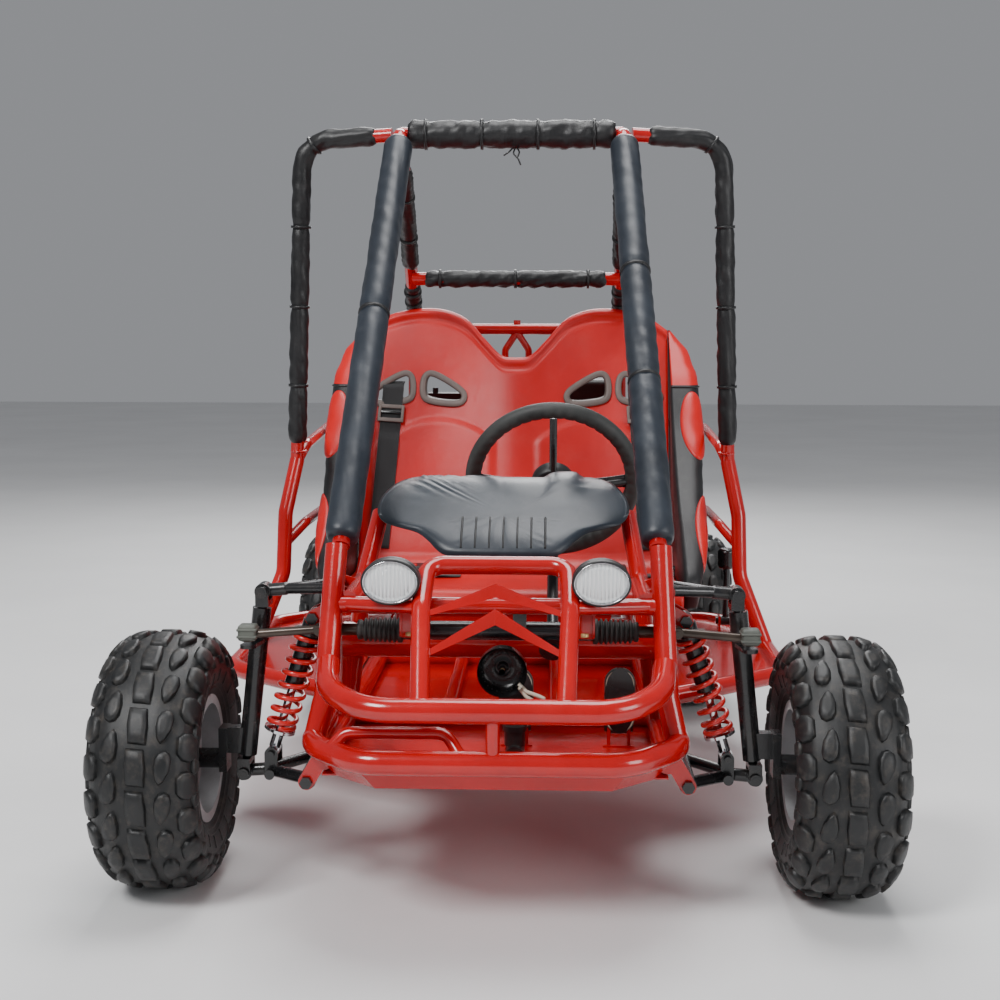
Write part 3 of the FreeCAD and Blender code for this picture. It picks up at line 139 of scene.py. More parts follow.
def webbing(name):
    """Woven strap: fine crossing ribs with a slightly lighter crown on each."""
    made, tree, shader = new_material(name)
    where = object_coords(tree, (1, 1, 1))
    across = node(tree, "ShaderNodeTexWave", Scale=260.0, Distortion=0.4, Detail=1.0)
    across.bands_direction = "Z"
    along = node(tree, "ShaderNodeTexWave", Scale=190.0, Distortion=0.6, Detail=1.0)
    along.bands_direction = "X"
    both = tree.nodes.new("ShaderNodeMath")
    both.operation = "MULTIPLY"
    for each in (across, along):
        tree.links.new(where, each.inputs["Vector"])
    tree.links.new(across.outputs["Fac"], both.inputs[0])
    tree.links.new(along.outputs["Fac"], both.inputs[1])
    tree.links.new(ramp(tree, both.outputs["Value"], 0.1, 0.8, (0.006, 0.006, 0.007), (0.035, 0.035, 0.038)),
                   shader.inputs["Base Color"])
    shader.inputs["Roughness"].default_value = 0.72
    shader.inputs["Sheen Weight"].default_value = 0.25
    bump(tree, shader, both.outputs["Value"], 0.8, 0.0006)
    return made


def lens_glass(name):
    made, tree, shader = new_material(name)
    where = object_coords(tree)
    ribs = node(tree, "ShaderNodeTexWave", Scale=58.0, Distortion=0.0, Detail=0.0)
    ribs.bands_direction = "X"
    tree.links.new(where, ribs.inputs["Vector"])
    tree.links.new(ramp(tree, ribs.outputs["Fac"], 0.2, 0.9, (0.80, 0.83, 0.84), (0.97, 0.98, 0.98)),
                   shader.inputs["Base Color"])
    shader.inputs["Roughness"].default_value = 0.07
    shader.inputs["Transmission Weight"].default_value = 0.15
    shader.inputs["IOR"].default_value = 1.46
    bump(tree, shader, ribs.outputs["Fac"], 0.7, 0.0012)
    return made


RED = surface("red_powder_coat", (0.40, 0.0006, 0.0012), (0.52, 0.0012, 0.002), (0.12, 0.24), patch=9.0,
              grain=420.0,
              grain_depth=0.00035, wave=0.0004, coat=0.45, dust=(0.04, (0.30, 0.20, 0.15)))
RED_PLASTIC = surface("red_moulded_seat", (0.50, 0.0015, 0.0015), (0.62, 0.003, 0.003), (0.28, 0.40),
                      patch=6.0,
                      grain=1500.0, grain_depth=0.0003, wave=0.0006, dust=(0.06, (0.5, 0.3, 0.25)))
SPRING_RED = surface("red_spring_paint", (0.55, 0.008, 0.008), (0.68, 0.016, 0.012), (0.18, 0.28), coat=0.5)
COWL = surface("cowl_plastic", (0.011, 0.016, 0.023), (0.020, 0.028, 0.040), (0.28, 0.40), patch=7.0,
               grain=1300.0,
               grain_depth=0.00035, wave=0.0004, dust=(0.16, (0.16, 0.16, 0.17)))
BLACK_PLASTIC = surface("black_plastic", (0.006, 0.006, 0.007), (0.013, 0.013, 0.014), (0.34, 0.50),
                        grain=1300.0,
                        grain_depth=0.0004, dust=(0.12, (0.12, 0.11, 0.10)))
FOAM = surface("wrapped_foam", (0.004, 0.004, 0.005), (0.010, 0.010, 0.011), (0.34, 0.52), patch=20.0,
               grain=700.0,
               grain_depth=0.0005, wave=0.0022, dust=(0.14, (0.10, 0.095, 0.09)))
# Foam on the A-pillars: the same black foam as the cage, made lighter and blue-grey as a painted sheen.
PILLAR_FOAM_PAINTED_SHEEN = surface("pillar_foam", (0.011, 0.015, 0.022), (0.019, 0.026, 0.037), (0.34, 0.48), patch=12.0,
                 grain=1100.0,
                 grain_depth=0.0003, wave=0.0010, dust=(0.14, (0.13, 0.13, 0.14)))
TYRE = surface("tyre_rubber", (0.004, 0.005, 0.006), (0.012, 0.012, 0.012), (0.36, 0.56), patch=26.0,
               grain=800.0,
               grain_depth=0.0006, dust=(0.42, (0.11, 0.088, 0.070)))
RUBBER = surface("soft_rubber", (0.018, 0.019, 0.018), (0.040, 0.042, 0.040), (0.50, 0.66), grain=900.0,
                 grain_depth=0.0004, dust=(0.2, (0.13, 0.12, 0.11)))
BOOT = surface("boot_rubber", (0.060, 0.066, 0.058), (0.110, 0.118, 0.100), (0.50, 0.66), grain=900.0)
BLACK_METAL = surface("satin_black_steel", (0.004, 0.004, 0.005), (0.011, 0.011, 0.012), (0.20, 0.34),
                      coat=0.25,
                      grain=500.0, grain_depth=0.0003, dust=(0.20, (0.14, 0.11, 0.09)))
ROD_STEEL = surface("waxed_dark_steel", (0.035, 0.024, 0.018), (0.085, 0.060, 0.045), (0.22, 0.40),
                    metallic=0.6,
                    grain=500.0, coat=0.3)
STEEL = surface("zinc_steel", (0.42, 0.42, 0.43), (0.62, 0.62, 0.63), (0.24, 0.42), metallic=1.0, grain=700.0,
                dust=(0.25, (0.24, 0.20, 0.16)))
CHROME = surface("chrome_plate", (0.62, 0.62, 0.64), (0.78, 0.78, 0.80), (0.06, 0.14), metallic=1.0,
                 grain=300.0,
                 grain_depth=0.0001)
RIM = surface("silver_rim_paint", (0.34, 0.34, 0.35), (0.48, 0.48, 0.49), (0.26, 0.40), metallic=0.55,
              coat=0.2,
              grain=600.0, dust=(0.30, (0.22, 0.18, 0.15)))
ALLOY = surface("cast_alloy", (0.30, 0.30, 0.31), (0.46, 0.46, 0.47), (0.40, 0.58), metallic=0.9, grain=260.0,
                grain_depth=0.0012, dust=(0.25, (0.14, 0.12, 0.10)))
GOLD = surface("brass_plate", (0.55, 0.36, 0.14), (0.74, 0.54, 0.26), (0.14, 0.28), metallic=0.4, grain=300.0)
CREAM = surface("cream_plastic", (0.50, 0.44, 0.34), (0.66, 0.60, 0.48), (0.3, 0.45), coat=0.2)
SLOT_TRIM = surface("slot_trim", (0.10, 0.075, 0.066), (0.17, 0.13, 0.115), (0.45, 0.6), grain=900.0)
WEB = webbing("harness_webbing")
LENS = lens_glass("lamp_lens")

PAINT = {
    "main_frame": RED, "front_bumper": RED, "floor_pan": RED, "side_frames": RED, "rear_frame": RED,
    "roll_cage": RED, "side_hoops": RED, "frame_bolts": BLACK_METAL, "headlamp_shells": BLACK_PLASTIC,
    "horn": BLACK_METAL, "steering_shaft": BLACK_METAL, "column_bearing": STEEL, "rack_housing": BLACK_METAL,
    "rack_bar": ROD_STEEL, "rear_axle": STEEL, "rear_rims": RIM, "swing_arm": BLACK_METAL, "output_sprocket": STEEL,
    "chain": STEEL, "engine": ALLOY, "intake": BLACK_PLASTIC, "exhaust": BLACK_METAL, "brake_pedal": BLACK_METAL,
    "throttle_pedal": BLACK_METAL, "master_cylinder": BLACK_METAL, "shift_lever": BLACK_METAL,
    "fuel_tank": BLACK_PLASTIC, "battery": BLACK_PLASTIC, "rear_shock_body": BLACK_METAL, "rear_shock_rod": CHROME,
    "rear_spring": SPRING_RED, "front_shock_bodies": BLACK_METAL, "seat_shell": RED_PLASTIC,
    "seat_bolsters": BLACK_PLASTIC, "seat_belts": WEB, "dash": COWL, "headlamp_lenses": LENS,
    "steering_wheel": RUBBER, "cage_foam": FOAM, "rear_tyres": TYRE,
}
for side, label in SIDES:
    PAINT.update({"bellows_" + label: RUBBER, "tie_rod_" + label: ROD_STEEL,
                  "lower_arm_" + label: BLACK_METAL,
                  "upper_arm_" + label: BLACK_METAL, "kingpin_" + label: BLACK_METAL,
                  "knuckle_" + label: BLACK_METAL, "front_rim_" + label: RIM, "front_tyre_" + label: TYRE,
                  "shock_rod_" + label: CHROME, "spring_" + label: SPRING_RED})
for name, material in PAINT.items():
    shown = NODES[name]
    shown.data.materials.clear()
    shown.data.materials.append(material)


# --- camera, floor, light -------------------------------------------------------------------------------------
def aim(obj, target):
    obj.rotation_mode = "QUATERNION"
    obj.rotation_quaternion = (Vector(target) - obj.location).to_track_quat("-Z", "Y")


def studio():
    camera = bpy.data.objects.new("camera", bpy.data.cameras.new("camera"))
    camera.data.lens, camera.data.sensor_width = 54.0, 36.0
    camera.location = (0.0706, -2.5805, 0.7741)
    yaw, pitch, roll = math.radians(1.95), math.radians(-6.35), math.radians(0.14)
    turn = Matrix.Rotation(yaw, 4, "Z") @ Matrix.Rotation(math.pi / 2 + pitch, 4,
                                                          "X") @ Matrix.Rotation(roll, 4, "Z")
    camera.rotation_euler = turn.to_euler()
    bpy.context.scene.collection.objects.link(camera)
    bpy.context.scene.camera = camera

    floor_mesh = bpy.data.meshes.new("floor")
    edge = 14.0
    floor_mesh.from_pydata([(-edge, -edge, 0), (edge, -edge, 0), (edge, edge, 0), (-edge, edge, 0)], [],
                           [(0, 1, 2, 3)])
    floor = bpy.data.objects.new("floor", floor_mesh)
    bpy.context.scene.collection.objects.link(floor)
    floor_paint = surface("studio_floor", (0.70, 0.70, 0.70), (0.76, 0.76, 0.76), (0.6, 0.75), patch=1.2,
                          grain=60.0, grain_depth=0.0001)
    floor.data.materials.append(floor_paint)

    world = bpy.data.worlds.new("studio")
    world.use_nodes = True
    world.node_tree.nodes["Background"].inputs["Color"].default_value = (0.93, 0.95, 1.0, 1)
    world.node_tree.nodes["Background"].inputs["Strength"].default_value = 0.30
    bpy.context.scene.world = world
    for name, place, size, power in (("key", (-2.0, -3.2, 3.8), 1.3, 190),
                                     ("fill", (3.2, -2.8, 1.8), 1.6, 60),
                                     ("top", (0.3, 0.4, 4.0), 2.0, 105), ("rim", (0.0, 3.4, 2.8), 1.8, 90)):
        lamp = bpy.data.objects.new(name, bpy.data.lights.new(name, "AREA"))
        lamp.data.size, lamp.data.energy = size, power
        lamp.location = place
        aim(lamp, (0, 0, 0.45))
        bpy.context.scene.collection.objects.link(lamp)


studio()

# --- mesh helpers ---------------------------------------------------------------------------------------------
def add_piece(name, verts, faces, material, smooth=True):
    mesh = bpy.data.meshes.new(name)
    mesh.from_pydata([tuple(v) for v in verts], [], faces)
    mesh.validate()
    mesh.update()
    if smooth:
        mesh.polygons.foreach_set("use_smooth", [True] * len(mesh.polygons))
    made = bpy.data.objects.new(name, mesh)
    bpy.context.scene.collection.objects.link(made)
    for each in material if isinstance(material, (list, tuple)) else [material]:
        mesh.materials.append(each)
    return made


def apply_modifiers(obj):
    graph = bpy.context.evaluated_depsgraph_get()
    baked = bpy.data.meshes.new_from_object(obj.evaluated_get(graph))
    obj.modifiers.clear()
    obj.data = baked
    return obj


def soften(obj, width=0.002, segments=2, angle=35):
    bevel = obj.modifiers.new("edge", "BEVEL")
    bevel.width, bevel.segments, bevel.limit_method = width, segments, "ANGLE"
    bevel.angle_limit = math.radians(angle)
    return apply_modifiers(obj)


def band(spans, count):
    """Quads between successive closed rings of count points."""
    faces = []
    for k in range(spans):
        for j in range(count):
            a, b = k * count + j, k * count + (j + 1) % count
            faces.append((a, b, b + count, a + count))
    return faces


def face_outward(obj):
    """Turns every face of a closed mesh outward."""
    shell = bmesh.new()
    shell.from_mesh(obj.data)
    bmesh.ops.recalc_face_normals(shell, faces=shell.faces)
    shell.to_mesh(obj.data)
    shell.free()
    return obj


def join(name, pieces):
    """One mesh from several, keeping each one's materials."""
    verts, faces, slots, materials = [], [], [], []
    for piece in pieces:
        start = len(verts)
        verts += [piece.matrix_world @ v.co for v in piece.data.vertices]
        local = [materials.index(m) if m in materials else (materials.append(m) or len(materials) - 1)
                 for m in piece.data.materials]
        for polygon in piece.data.polygons:
            faces.append([start + i for i in polygon.vertices])
            slots.append((local[polygon.material_index], polygon.use_smooth))
        old = piece.data
        bpy.data.objects.remove(piece)
        bpy.data.meshes.remove(old)
    made = add_piece(name, verts, faces, materials, smooth=False)
    made.data.polygons.foreach_set("material_index", [s[0] for s in slots])
    made.data.polygons.foreach_set("use_smooth", [s[1] for s in slots])
    return made


def bent(points, bend, step=0.008):
    """Points along straight runs joined by arcs, about a step apart."""
    points = [Vector(p) for p in points]
    out, start = [], points[0]

    def run(a, b):
        count = max(1, int((b - a).length / step))
        out.extend(a.lerp(b, k / count) for k in range(count))
    for before, corner, after in zip(points, points[1:], points[2:]):
        u, w = (before - corner).normalized(), (after - corner).normalized()
        half = u.angle(w) / 2
        if math.pi / 2 - half < 0.01:
            continue
        reach = min(bend / math.tan(half), 0.45 * min((before - corner).length, (after - corner).length))
        radius = reach * math.tan(half)
        first, last = corner + u * reach, corner + w * reach
        centre = corner + (u + w).normalized() * (radius / math.sin(half))
        run(start, first)
        a, b = first - centre, last - centre
        count = max(3, int(a.angle(b) * radius / step))
        for k in range(count):
            turn = Quaternion(a.cross(b).normalized(), a.angle(b) * k / count)
            out.append(centre + turn @ a)
        start = last
    run(start, points[-1])
    out.append(points[-1])
    return out


def frames(path, up=Vector((0, 0, 1))):
    """A steady pair of cross directions at each point of a path."""
    result, side = [], None
    for k in range(len(path)):
        t = (path[min(k + 1, len(path) - 1)] - path[max(k - 1, 0)]).normalized()
        if side is None:
            side = t.cross(up)
            if side.length < 0.1:
                side = t.cross(Vector((1, 0, 0)))
        side = (side - t * side.dot(t)).normalized()
        result.append((t, side, t.cross(side)))
    return result


def sweep(name, path, radius, material, segments=24, capped=True):
    """A round skin along a path; radius is a number or a function of (distance share, angle)."""
    verts, faces = [], []
    path = [Vector(p) for p in path]
    cross = frames(path)
    for k, p in enumerate(path):
        share = k / (len(path) - 1)
        for j in range(segments):
            angle = 2 * math.pi * j / segments
            r = radius(share, angle) if callable(radius) else radius
            verts.append(p + (cross[k][1] * math.cos(angle) + cross[k][2] * math.sin(angle)) * r)
    faces += band(len(path) - 1, segments)
    if capped:
        for k, flip in ((0, True), (len(path) - 1, False)):
            ring = [k * segments + j for j in range(segments)]
            faces.append(ring[::-1] if flip else ring)
    return add_piece(name, verts, faces, material)


def turned(name, outline, centre, axis, material, segments=64, closed=False):
    """A surface of revolution: outline of (along axis, radius) about an axis through centre."""
    axis = Vector(axis).normalized()
    side = axis.cross(Vector((0, 0, 1)))
    side = side.normalized() if side.length > 0.1 else axis.cross(Vector((1, 0, 0))).normalized()
    other = axis.cross(side)
    centre = Vector(centre)
    verts, faces = [], []
    for along, r in outline:
        for j in range(segments):
            angle = 2 * math.pi * j / segments
            verts.append(centre + axis * along + (side * math.cos(angle) + other * math.sin(angle)) * r)
    rows = len(outline)
    for k in range(rows if closed else rows - 1):
        for j in range(segments):
            a, b = k * segments + j, k * segments + (j + 1) % segments
            c, d = ((k + 1) % rows) * segments + (j + 1) % segments, ((k + 1) % rows) * segments + j
            faces.append((a, b, c, d))
    return add_piece(name, verts, faces, material)


def hull_box(name, x0, x1, y0, y1, z0, z1, material, bevel=0.002):
    """A box with eased edges."""
    xs, ys, zs = (x0, x1), (y0, y1), (z0, z1)
    verts = [(x, y, z) for x in xs for y in ys for z in zs]
    faces = [(0, 1, 3, 2), (4, 6, 7, 5), (0, 4, 5, 1), (2, 3, 7, 6), (0, 2, 6, 4), (1, 5, 7, 3)]
    return soften(add_piece(name, verts, faces, material), bevel, 3)


# --- tyres ----------------------------------------------------------------------------------------------------
CARCASS = [(0.0, 173.5), (0.022, 173.0), (0.040, 170.0), (0.055, 163.5), (0.0655, 152.5), (0.0712, 138.0),
           (0.0715, 124.0), (0.0680, 110.0), (0.0630, 100.0), (0.0590, 94.0)]
PITCHES = 20


def carcass_at(s):
    """Point (x, radius) and outward normal at an arc distance from the tread's centre."""
    sign = -1 if s < 0 else 1
    left = abs(s)
    points = [(x, r * MM) for x, r in CARCASS]
    for (x0, r0), (x1, r1) in zip(points, points[1:]):
        length = math.hypot(x1 - x0, r1 - r0)
        if left <= length or (x1, r1) == points[-1]:
            t = min(1.0, left / length)
            nx, nr = -(r1 - r0) / length, (x1 - x0) / length
            return (x0 + (x1 - x0) * t) * sign, r0 + (r1 - r0) * t, nx * sign, nr
        left -= length
    return None


def lug(outline, height, angle, verts, faces, ease=0.0018):
    """One tread block on the carcass: outline in (across, along) metres, raised by height, eased at its crown."""
    centre_s = sum(p[0] for p in outline) / len(outline)
    centre_v = sum(p[1] for p in outline) / len(outline)
    fine = []
    for (s0, v0), (s1, v1) in zip(outline, outline[1:] + outline[:1]):
        count = max(1, int(math.hypot(s1 - s0, v1 - v0) / 0.006))
        fine += [(s0 + (s1 - s0) * k / count, v0 + (v1 - v0) * k / count) for k in range(count)]
    start, count = len(verts), len(fine)

    def place(s, v, h):
        x, r, nx, nr = carcass_at(s)
        turn = angle + v / 0.172
        rr = r + nr * h
        return Vector((x + nx * h, math.cos(turn) * rr, math.sin(turn) * rr))
    for shrink, h in ((1.12, -0.0015), (1.03, height * 0.5), (0.99, height - ease), (0.90, height),
                      (0.45, height)):
        for s, v in fine:
            verts.append(place(centre_s + (s - centre_s) * shrink, centre_v + (v - centre_v) * shrink, h))
    verts.append(place(centre_s, centre_v, height))
    for ring in range(4):
        for k in range(count):
            a, b = start + ring * count + k, start + ring * count + (k + 1) % count
            faces.append((a, b, b + count, a + count))
    for k in range(count):
        a, b = start + 4 * count + k, start + 4 * count + (k + 1) % count
        faces.append((a, b, start + 5 * count))


def tyre_blocks(verts, faces):
    gap = 0.172 * 2 * math.pi / PITCHES
    for k in range(PITCHES):
        angle = 2 * math.pi * k / PITCHES
        half = angle + math.pi / PITCHES
        length = gap * 0.43
        lug([(-0.012, -length), (0.010, -length * 0.92), (0.013, 0.0), (0.012, length),
             (-0.010, length * 0.92),
             (-0.013, 0.0)], 0.0062, angle, verts, faces)
        for sign, turn in ((1, half), (-1, angle)):
            drop = [(0.026, -0.012), (0.031, -0.019), (0.038, -0.021), (0.044, -0.017), (0.046, -0.008),
                    (0.043, 0.006), (0.037, 0.017), (0.031, 0.021), (0.027, 0.015), (0.0245, 0.002)]
            lug([(s * sign, v * sign) for s, v in drop], 0.0066, turn, verts, faces)
            shoulder = [(0.054, -0.013), (0.060, -0.019), (0.070, -0.020), (0.079, -0.015), (0.082, 0.0),
                        (0.079, 0.015), (0.070, 0.019), (0.060, 0.016), (0.054, 0.008)]
            lug([(s * sign, v * sign) for s, v in shoulder], 0.0070, turn + math.pi / PITCHES, verts, faces)
            small = [(0.078, -0.009), (0.084, -0.012), (0.091, -0.009), (0.093, 0.0), (0.091, 0.009),
                     (0.084, 0.012),
                     (0.078, 0.009)]
            lug([(s * sign, v) for s, v in small], 0.0040, turn, verts, faces)
            bar = [(0.101, -0.005), (0.118, -0.003), (0.118, 0.003), (0.101, 0.005)]
            lug([(s * sign, v) for s, v in bar], 0.0012, turn, verts, faces, 0.0005)


def tyre_mesh():
    """Carcass with bead, side ribs and tread blocks, centred on the origin with its axle along X."""
    outline = []
    steps = 26
    total = sum(math.hypot(b[0] - a[0], (b[1] - a[1]) * MM) for a, b in zip(CARCASS, CARCASS[1:]))
    for k in range(-steps, steps + 1):
        x, r, _, _ = carcass_at(total * k / steps)
        outline.append((x, r))
    inner = [(0.0570, 0.0905), (0.0560, 0.0815), (0.052, 0.0805)]
    outline = [(-x, r) for x, r in reversed(inner)] + outline + inner
    body = turned("carcass", outline, (0, 0, 0), (1, 0, 0), TYRE, 120)
    verts, faces = [], []
    tyre_blocks(verts, faces)
    blocks = add_piece("blocks", verts, faces, TYRE)
    rings = []
    for sign in (1, -1):
        for x, r in ((0.0712, 0.132), (0.0665, 0.106), (0.0630, 0.099)):
            rings.append(turned("rib", [(sign * (x - 0.001), r - 0.002), (sign * (x + 0.0012), r),
                                        (sign * (x - 0.001), r + 0.002)], (0, 0, 0), (1, 0, 0), TYRE, 120))
    return join("tyre_model", [body, blocks] + rings)


def tyres():
    model = tyre_mesh()
    for name, body, places in (("front_tyre_left", "front_wheel_left", [(0.465, -0.54)]),
                               ("front_tyre_right", "front_wheel_right", [(-0.465, -0.54)]),
                               ("rear_tyres", "rear_axle", [(0.363, 0.54), (-0.363, 0.54)])):
        for k, (x, y) in enumerate(places):
            made = bpy.data.objects.new(name + "_tread_%d" % k, model.data)
            bpy.context.scene.collection.objects.link(made)
            made.location = (x, y, 0.180)
            made.rotation_euler = (0.35 * k + 0.2, 0, 0 if x > 0 else math.pi)
            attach(made, body)
            if k == 0:
                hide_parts(name)
    bpy.data.objects.remove(model)


tyres()


# --- foam sleeves on the cage ---------------------------------------------------------------------------------
def wrinkled(seed, radius, depth, fold=0.0):
    """A sleeve's radius: faceted by its wrap, with soft folds."""
    rng = random.Random(seed)
    waves = [(rng.uniform(3, 26), rng.randint(1, 4), rng.uniform(0, 6.28),
              rng.uniform(0.3, 1.0)) for _ in range(9)]

    def at(share, angle):
        total = 0.0
        for along, around, phase, size in waves:
            total += size * math.sin(along * share * 6.28 + around * angle + phase)
        total /= 4.5
        r = radius - depth * 0.8 + depth * 0.8 * total
        if fold:
            r -= fold * max(0.0, math.cos(angle * 2 + share * 9.0)) ** 8
        return min(r, radius)
    return at


def tied_sleeve(name, points, radius, depth, material, ties=(), bend=0.02, seed=1, replaces=None,
                fold=0.0015):
    """One foam sleeve with pinched ties; its ends curl in to the tube."""
    path = bent(points, bend, 0.006)
    shape = wrinkled(seed, radius, depth, fold)
    length = sum((b - a).length for a, b in zip(path, path[1:]))

    def skin(share, angle):
        r = shape(share, angle)
        end = min(share, 1 - share) * length
        if end < 0.008:
            r -= (0.008 - end) * 0.55
        for tie in ties:
            gap = abs(share - tie) * length
            if gap < 0.014:
                r -= 0.0024 * (1 - gap / 0.014)
        return r
    parts = [sweep(name, path, skin, material, 36)]
    for tie in ties:
        k = min(len(path) - 2, max(1, int(tie * (len(path) - 1))))
        ring = [path[k] - (path[k + 1] - path[k]).normalized() * 0.0022, path[k],
                path[k] + (path[k + 1] - path[k]).normalized() * 0.0022]
        parts.append(sweep("tie", ring, lambda share, angle: radius - 0.0004, BLACK_PLASTIC, 36))
        t, side, up = frames(path)[k]
        spot = path[k] + (side * math.cos(seed + tie * 9) + up * math.sin(seed + tie * 9)) * (radius - 0.003)
        parts.append(hull_box("clip", spot.x - 0.003, spot.x + 0.003, spot.y - 0.003, spot.y + 0.003,
                              spot.z - 0.0025, spot.z + 0.0025, BLACK_PLASTIC, 0.0008))
    made = join(name, parts)
    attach(made, "chassis")
    if replaces:
        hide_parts(replaces)
    return made


def cage_foam():
    foot, top = Vector((0.218, -0.545, 0.482)), Vector((0.190, 0.020, 1.110))
    stay_top, stay_foot = Vector((0.192, 0.062, 1.104)), Vector((0.208, 0.490, 0.800))
    first = "cage_foam"
    for s, side in SIDES:
        def here(p):
            return Vector((p.x * s, p.y, p.z))
        a, b = foot.lerp(top, 0.012), foot.lerp(top, 0.975)
        # The pillar sleeves use the foam whose lighter blue-grey colour is a painted sheen.
        tied_sleeve("pillar_foam_" + side, [here(a), here(b)], 0.0250, 0.0011, PILLAR_FOAM_PAINTED_SHEEN,
                    (0.36, 0.63) if s > 0 else (0.52,),
                    0.02, 11 + s, first, 0.0012)
        first = None
        for k, (t0, t1) in enumerate(((0.13, 0.66), (0.77, 0.94))):
            tied_sleeve("stay_foam_%s_%d" % (side, k),
                        [here(stay_top.lerp(stay_foot, t0)), here(stay_top.lerp(stay_foot, t1))],
                        0.0180, 0.0022, FOAM, (0.3, 0.7), 0.02, 31 + k + s)
        corner = Vector((0.364, 0.062, 1.104))
        low = corner.lerp(Vector((0.385, 0.092, 0.548)), 0.945)
        tied_sleeve("hoop_foam_" + side, [here(Vector((0.234, 0.049, 1.1106))), here(corner), here(low)],
                    0.0180, 0.0020,
                    FOAM, (0.18, 0.40, 0.62, 0.84), 0.055, 51 + s)
    tied_sleeve("roof_foam", [(-0.177, 0.040, 1.112), (0.177, 0.040, 1.112)], 0.0265, 0.0034, FOAM,
                (0.1, 0.36, 0.64, 0.9),
                0.02, 71)
    tied_sleeve("rear_bar_foam", [(-0.176, 0.345, 0.878), (0.176, 0.345, 0.878)], 0.0185, 0.0032, FOAM,
                (0.1, 0.5, 0.9),
                0.02, 91)
    tails = []
    for path in ([(0.006, 0.030, 1.088), (0.003, 0.020, 1.078), (0.012, 0.016, 1.068), (0.016, 0.014, 1.058)],
                 [(0.002, 0.030, 1.088), (-0.004, 0.018, 1.080), (-0.013, 0.016, 1.074)],
                 [(0.010, 0.032, 1.088), (0.014, 0.020, 1.080), (0.010, 0.017, 1.070)]):
        tails.append(sweep("tail", bent(path, 0.006, 0.002), 0.0014, BLACK_PLASTIC, 8))
    made = join("tie_tails", tails)
    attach(made, "chassis")


cage_foam()


# --- springs and bellows --------------------------------------------------------------------------------------
def coil(name, start, axis, length, radius, wire, turns, material):
    """A coil spring with closed, flattened ends."""
    axis = Vector(axis).normalized()
    side = axis.cross(Vector((0, 0, 1))).normalized()
    if side.length < 0.5:
        side = axis.cross(Vector((0, 1, 0))).normalized()
    other = axis.cross(side)
    path, count = [], int(turns * 40)
    for k in range(count + 1):
        share = k / count
        dead = 0.75 / turns
        if share < dead:
            climb = share / dead * wire * 0.9
        elif share > 1 - dead:
            climb = length - (1 - share) / dead * wire * 0.9
        else:
            climb = wire * 0.9 + (share - dead) / (1 - 2 * dead) * (length - 1.8 * wire)
        angle = 2 * math.pi * turns * share
        path.append(Vector(start) + axis * climb + (side * math.cos(angle) + other * math.sin(angle)) * radius)
    return sweep(name, path, wire, material, 14)


def springs():
    for s, side in SIDES:
        top, low = Vector((0.256 * s, -0.54, 0.384)), Vector((0.316 * s, -0.54, 0.192))
        axis = (low - top).normalized()
        length = (low - top).length
        start, end = 0.0263 + 0.0036, length - 0.0343 - 0.0036
        made = coil("front_coil_" + side, top + axis * start, axis, end - start, 0.0184, 0.0036, 8.5,
                    SPRING_RED)
        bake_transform(made)
        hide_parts("spring_" + side)
    top, low = Vector((0, 0.459, 0.528)), Vector((0, 0.480, 0.228))
    axis = (low - top).normalized()
    start, end = 0.0263 + 0.0046, (low - top).length - 0.0343 - 0.0046
    made = coil("rear_coil", top + axis * start, axis, end - start, 0.0222, 0.0046, 10.5, SPRING_RED)
    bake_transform(made)
    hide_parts("rear_spring")


def rack_boots():
    for s, side in SIDES:
        x0, x1 = 0.1283, 0.190
        outline, folds = [(0.0, 0.0150), (0.001, 0.0172), (0.006, 0.0172), (0.0072, 0.0150)], 7
        span_x = x1 - x0
        for k in range(folds * 8 + 1):
            share = k / (folds * 8)
            along = 0.0080 + share * (span_x - 0.0160)
            crest = 0.5 - 0.5 * math.cos(2 * math.pi * folds * share)
            outline.append((along, 0.0136 + 0.0042 * crest ** 0.7 - 0.0018 * share))
        outline += [(span_x - 0.007, 0.0115), (span_x - 0.006, 0.0135), (span_x - 0.001, 0.0135),
                    (span_x, 0.0110)]
        made = turned("rack_boot_" + side, outline, (x0 * s, -0.585, 0.374), (s, 0, 0), RUBBER, 56)
        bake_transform(made)
        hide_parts("bellows_" + side)


springs()
rack_boots()


# --- seat -----------------------------------------------------------------------------------------------------
SEAT_TOP = [(0, 727), (28, 731), (60, 762), (96, 801), (134, 819), (173, 824), (222, 819), (262, 806),
            (300, 780)]
BUCKET_X, SLOT_Z = 0.192, 0.664
SLOT_SHAPE = [(16, 24), (30, 27), (82, -4), (88, -16), (78, -24), (22, -18), (14, -8)]


def smooth_between(table, x):
    """Value at x on a smooth line through a table of points."""
    for k in range(len(table) - 1):
        (x0, v0), (x1, v1) = table[k], table[k + 1]
        if x <= x1 or k == len(table) - 2:
            before, after = table[max(k - 1, 0)], table[min(k + 2, len(table) - 1)]
            m0 = (v1 - before[1]) / max(1e-6, x1 - before[0]) * (x1 - x0)
            m1 = (after[1] - v0) / max(1e-6, after[0] - x0) * (x1 - x0)
            t = min(1.0, max(0.0, (x - x0) / (x1 - x0)))
            return ((2 * t ** 3 - 3 * t * t + 1) * v0 + (t ** 3 - 2 * t * t + t) * m0 +
                    (3 * t * t - 2 * t ** 3) * v1 + (t ** 3 - t * t) * m1)
    return table[-1][1]


def smoothstep(a, b, x):
    """Eases from 0 at a to 1 at b; a may lie above b."""
    t = min(1.0, max(0.0, (x - a) / (b - a)))
    return t * t * (3 - 2 * t)


def back_front(z):
    return 0.262 + (z - 0.338) * 0.3205


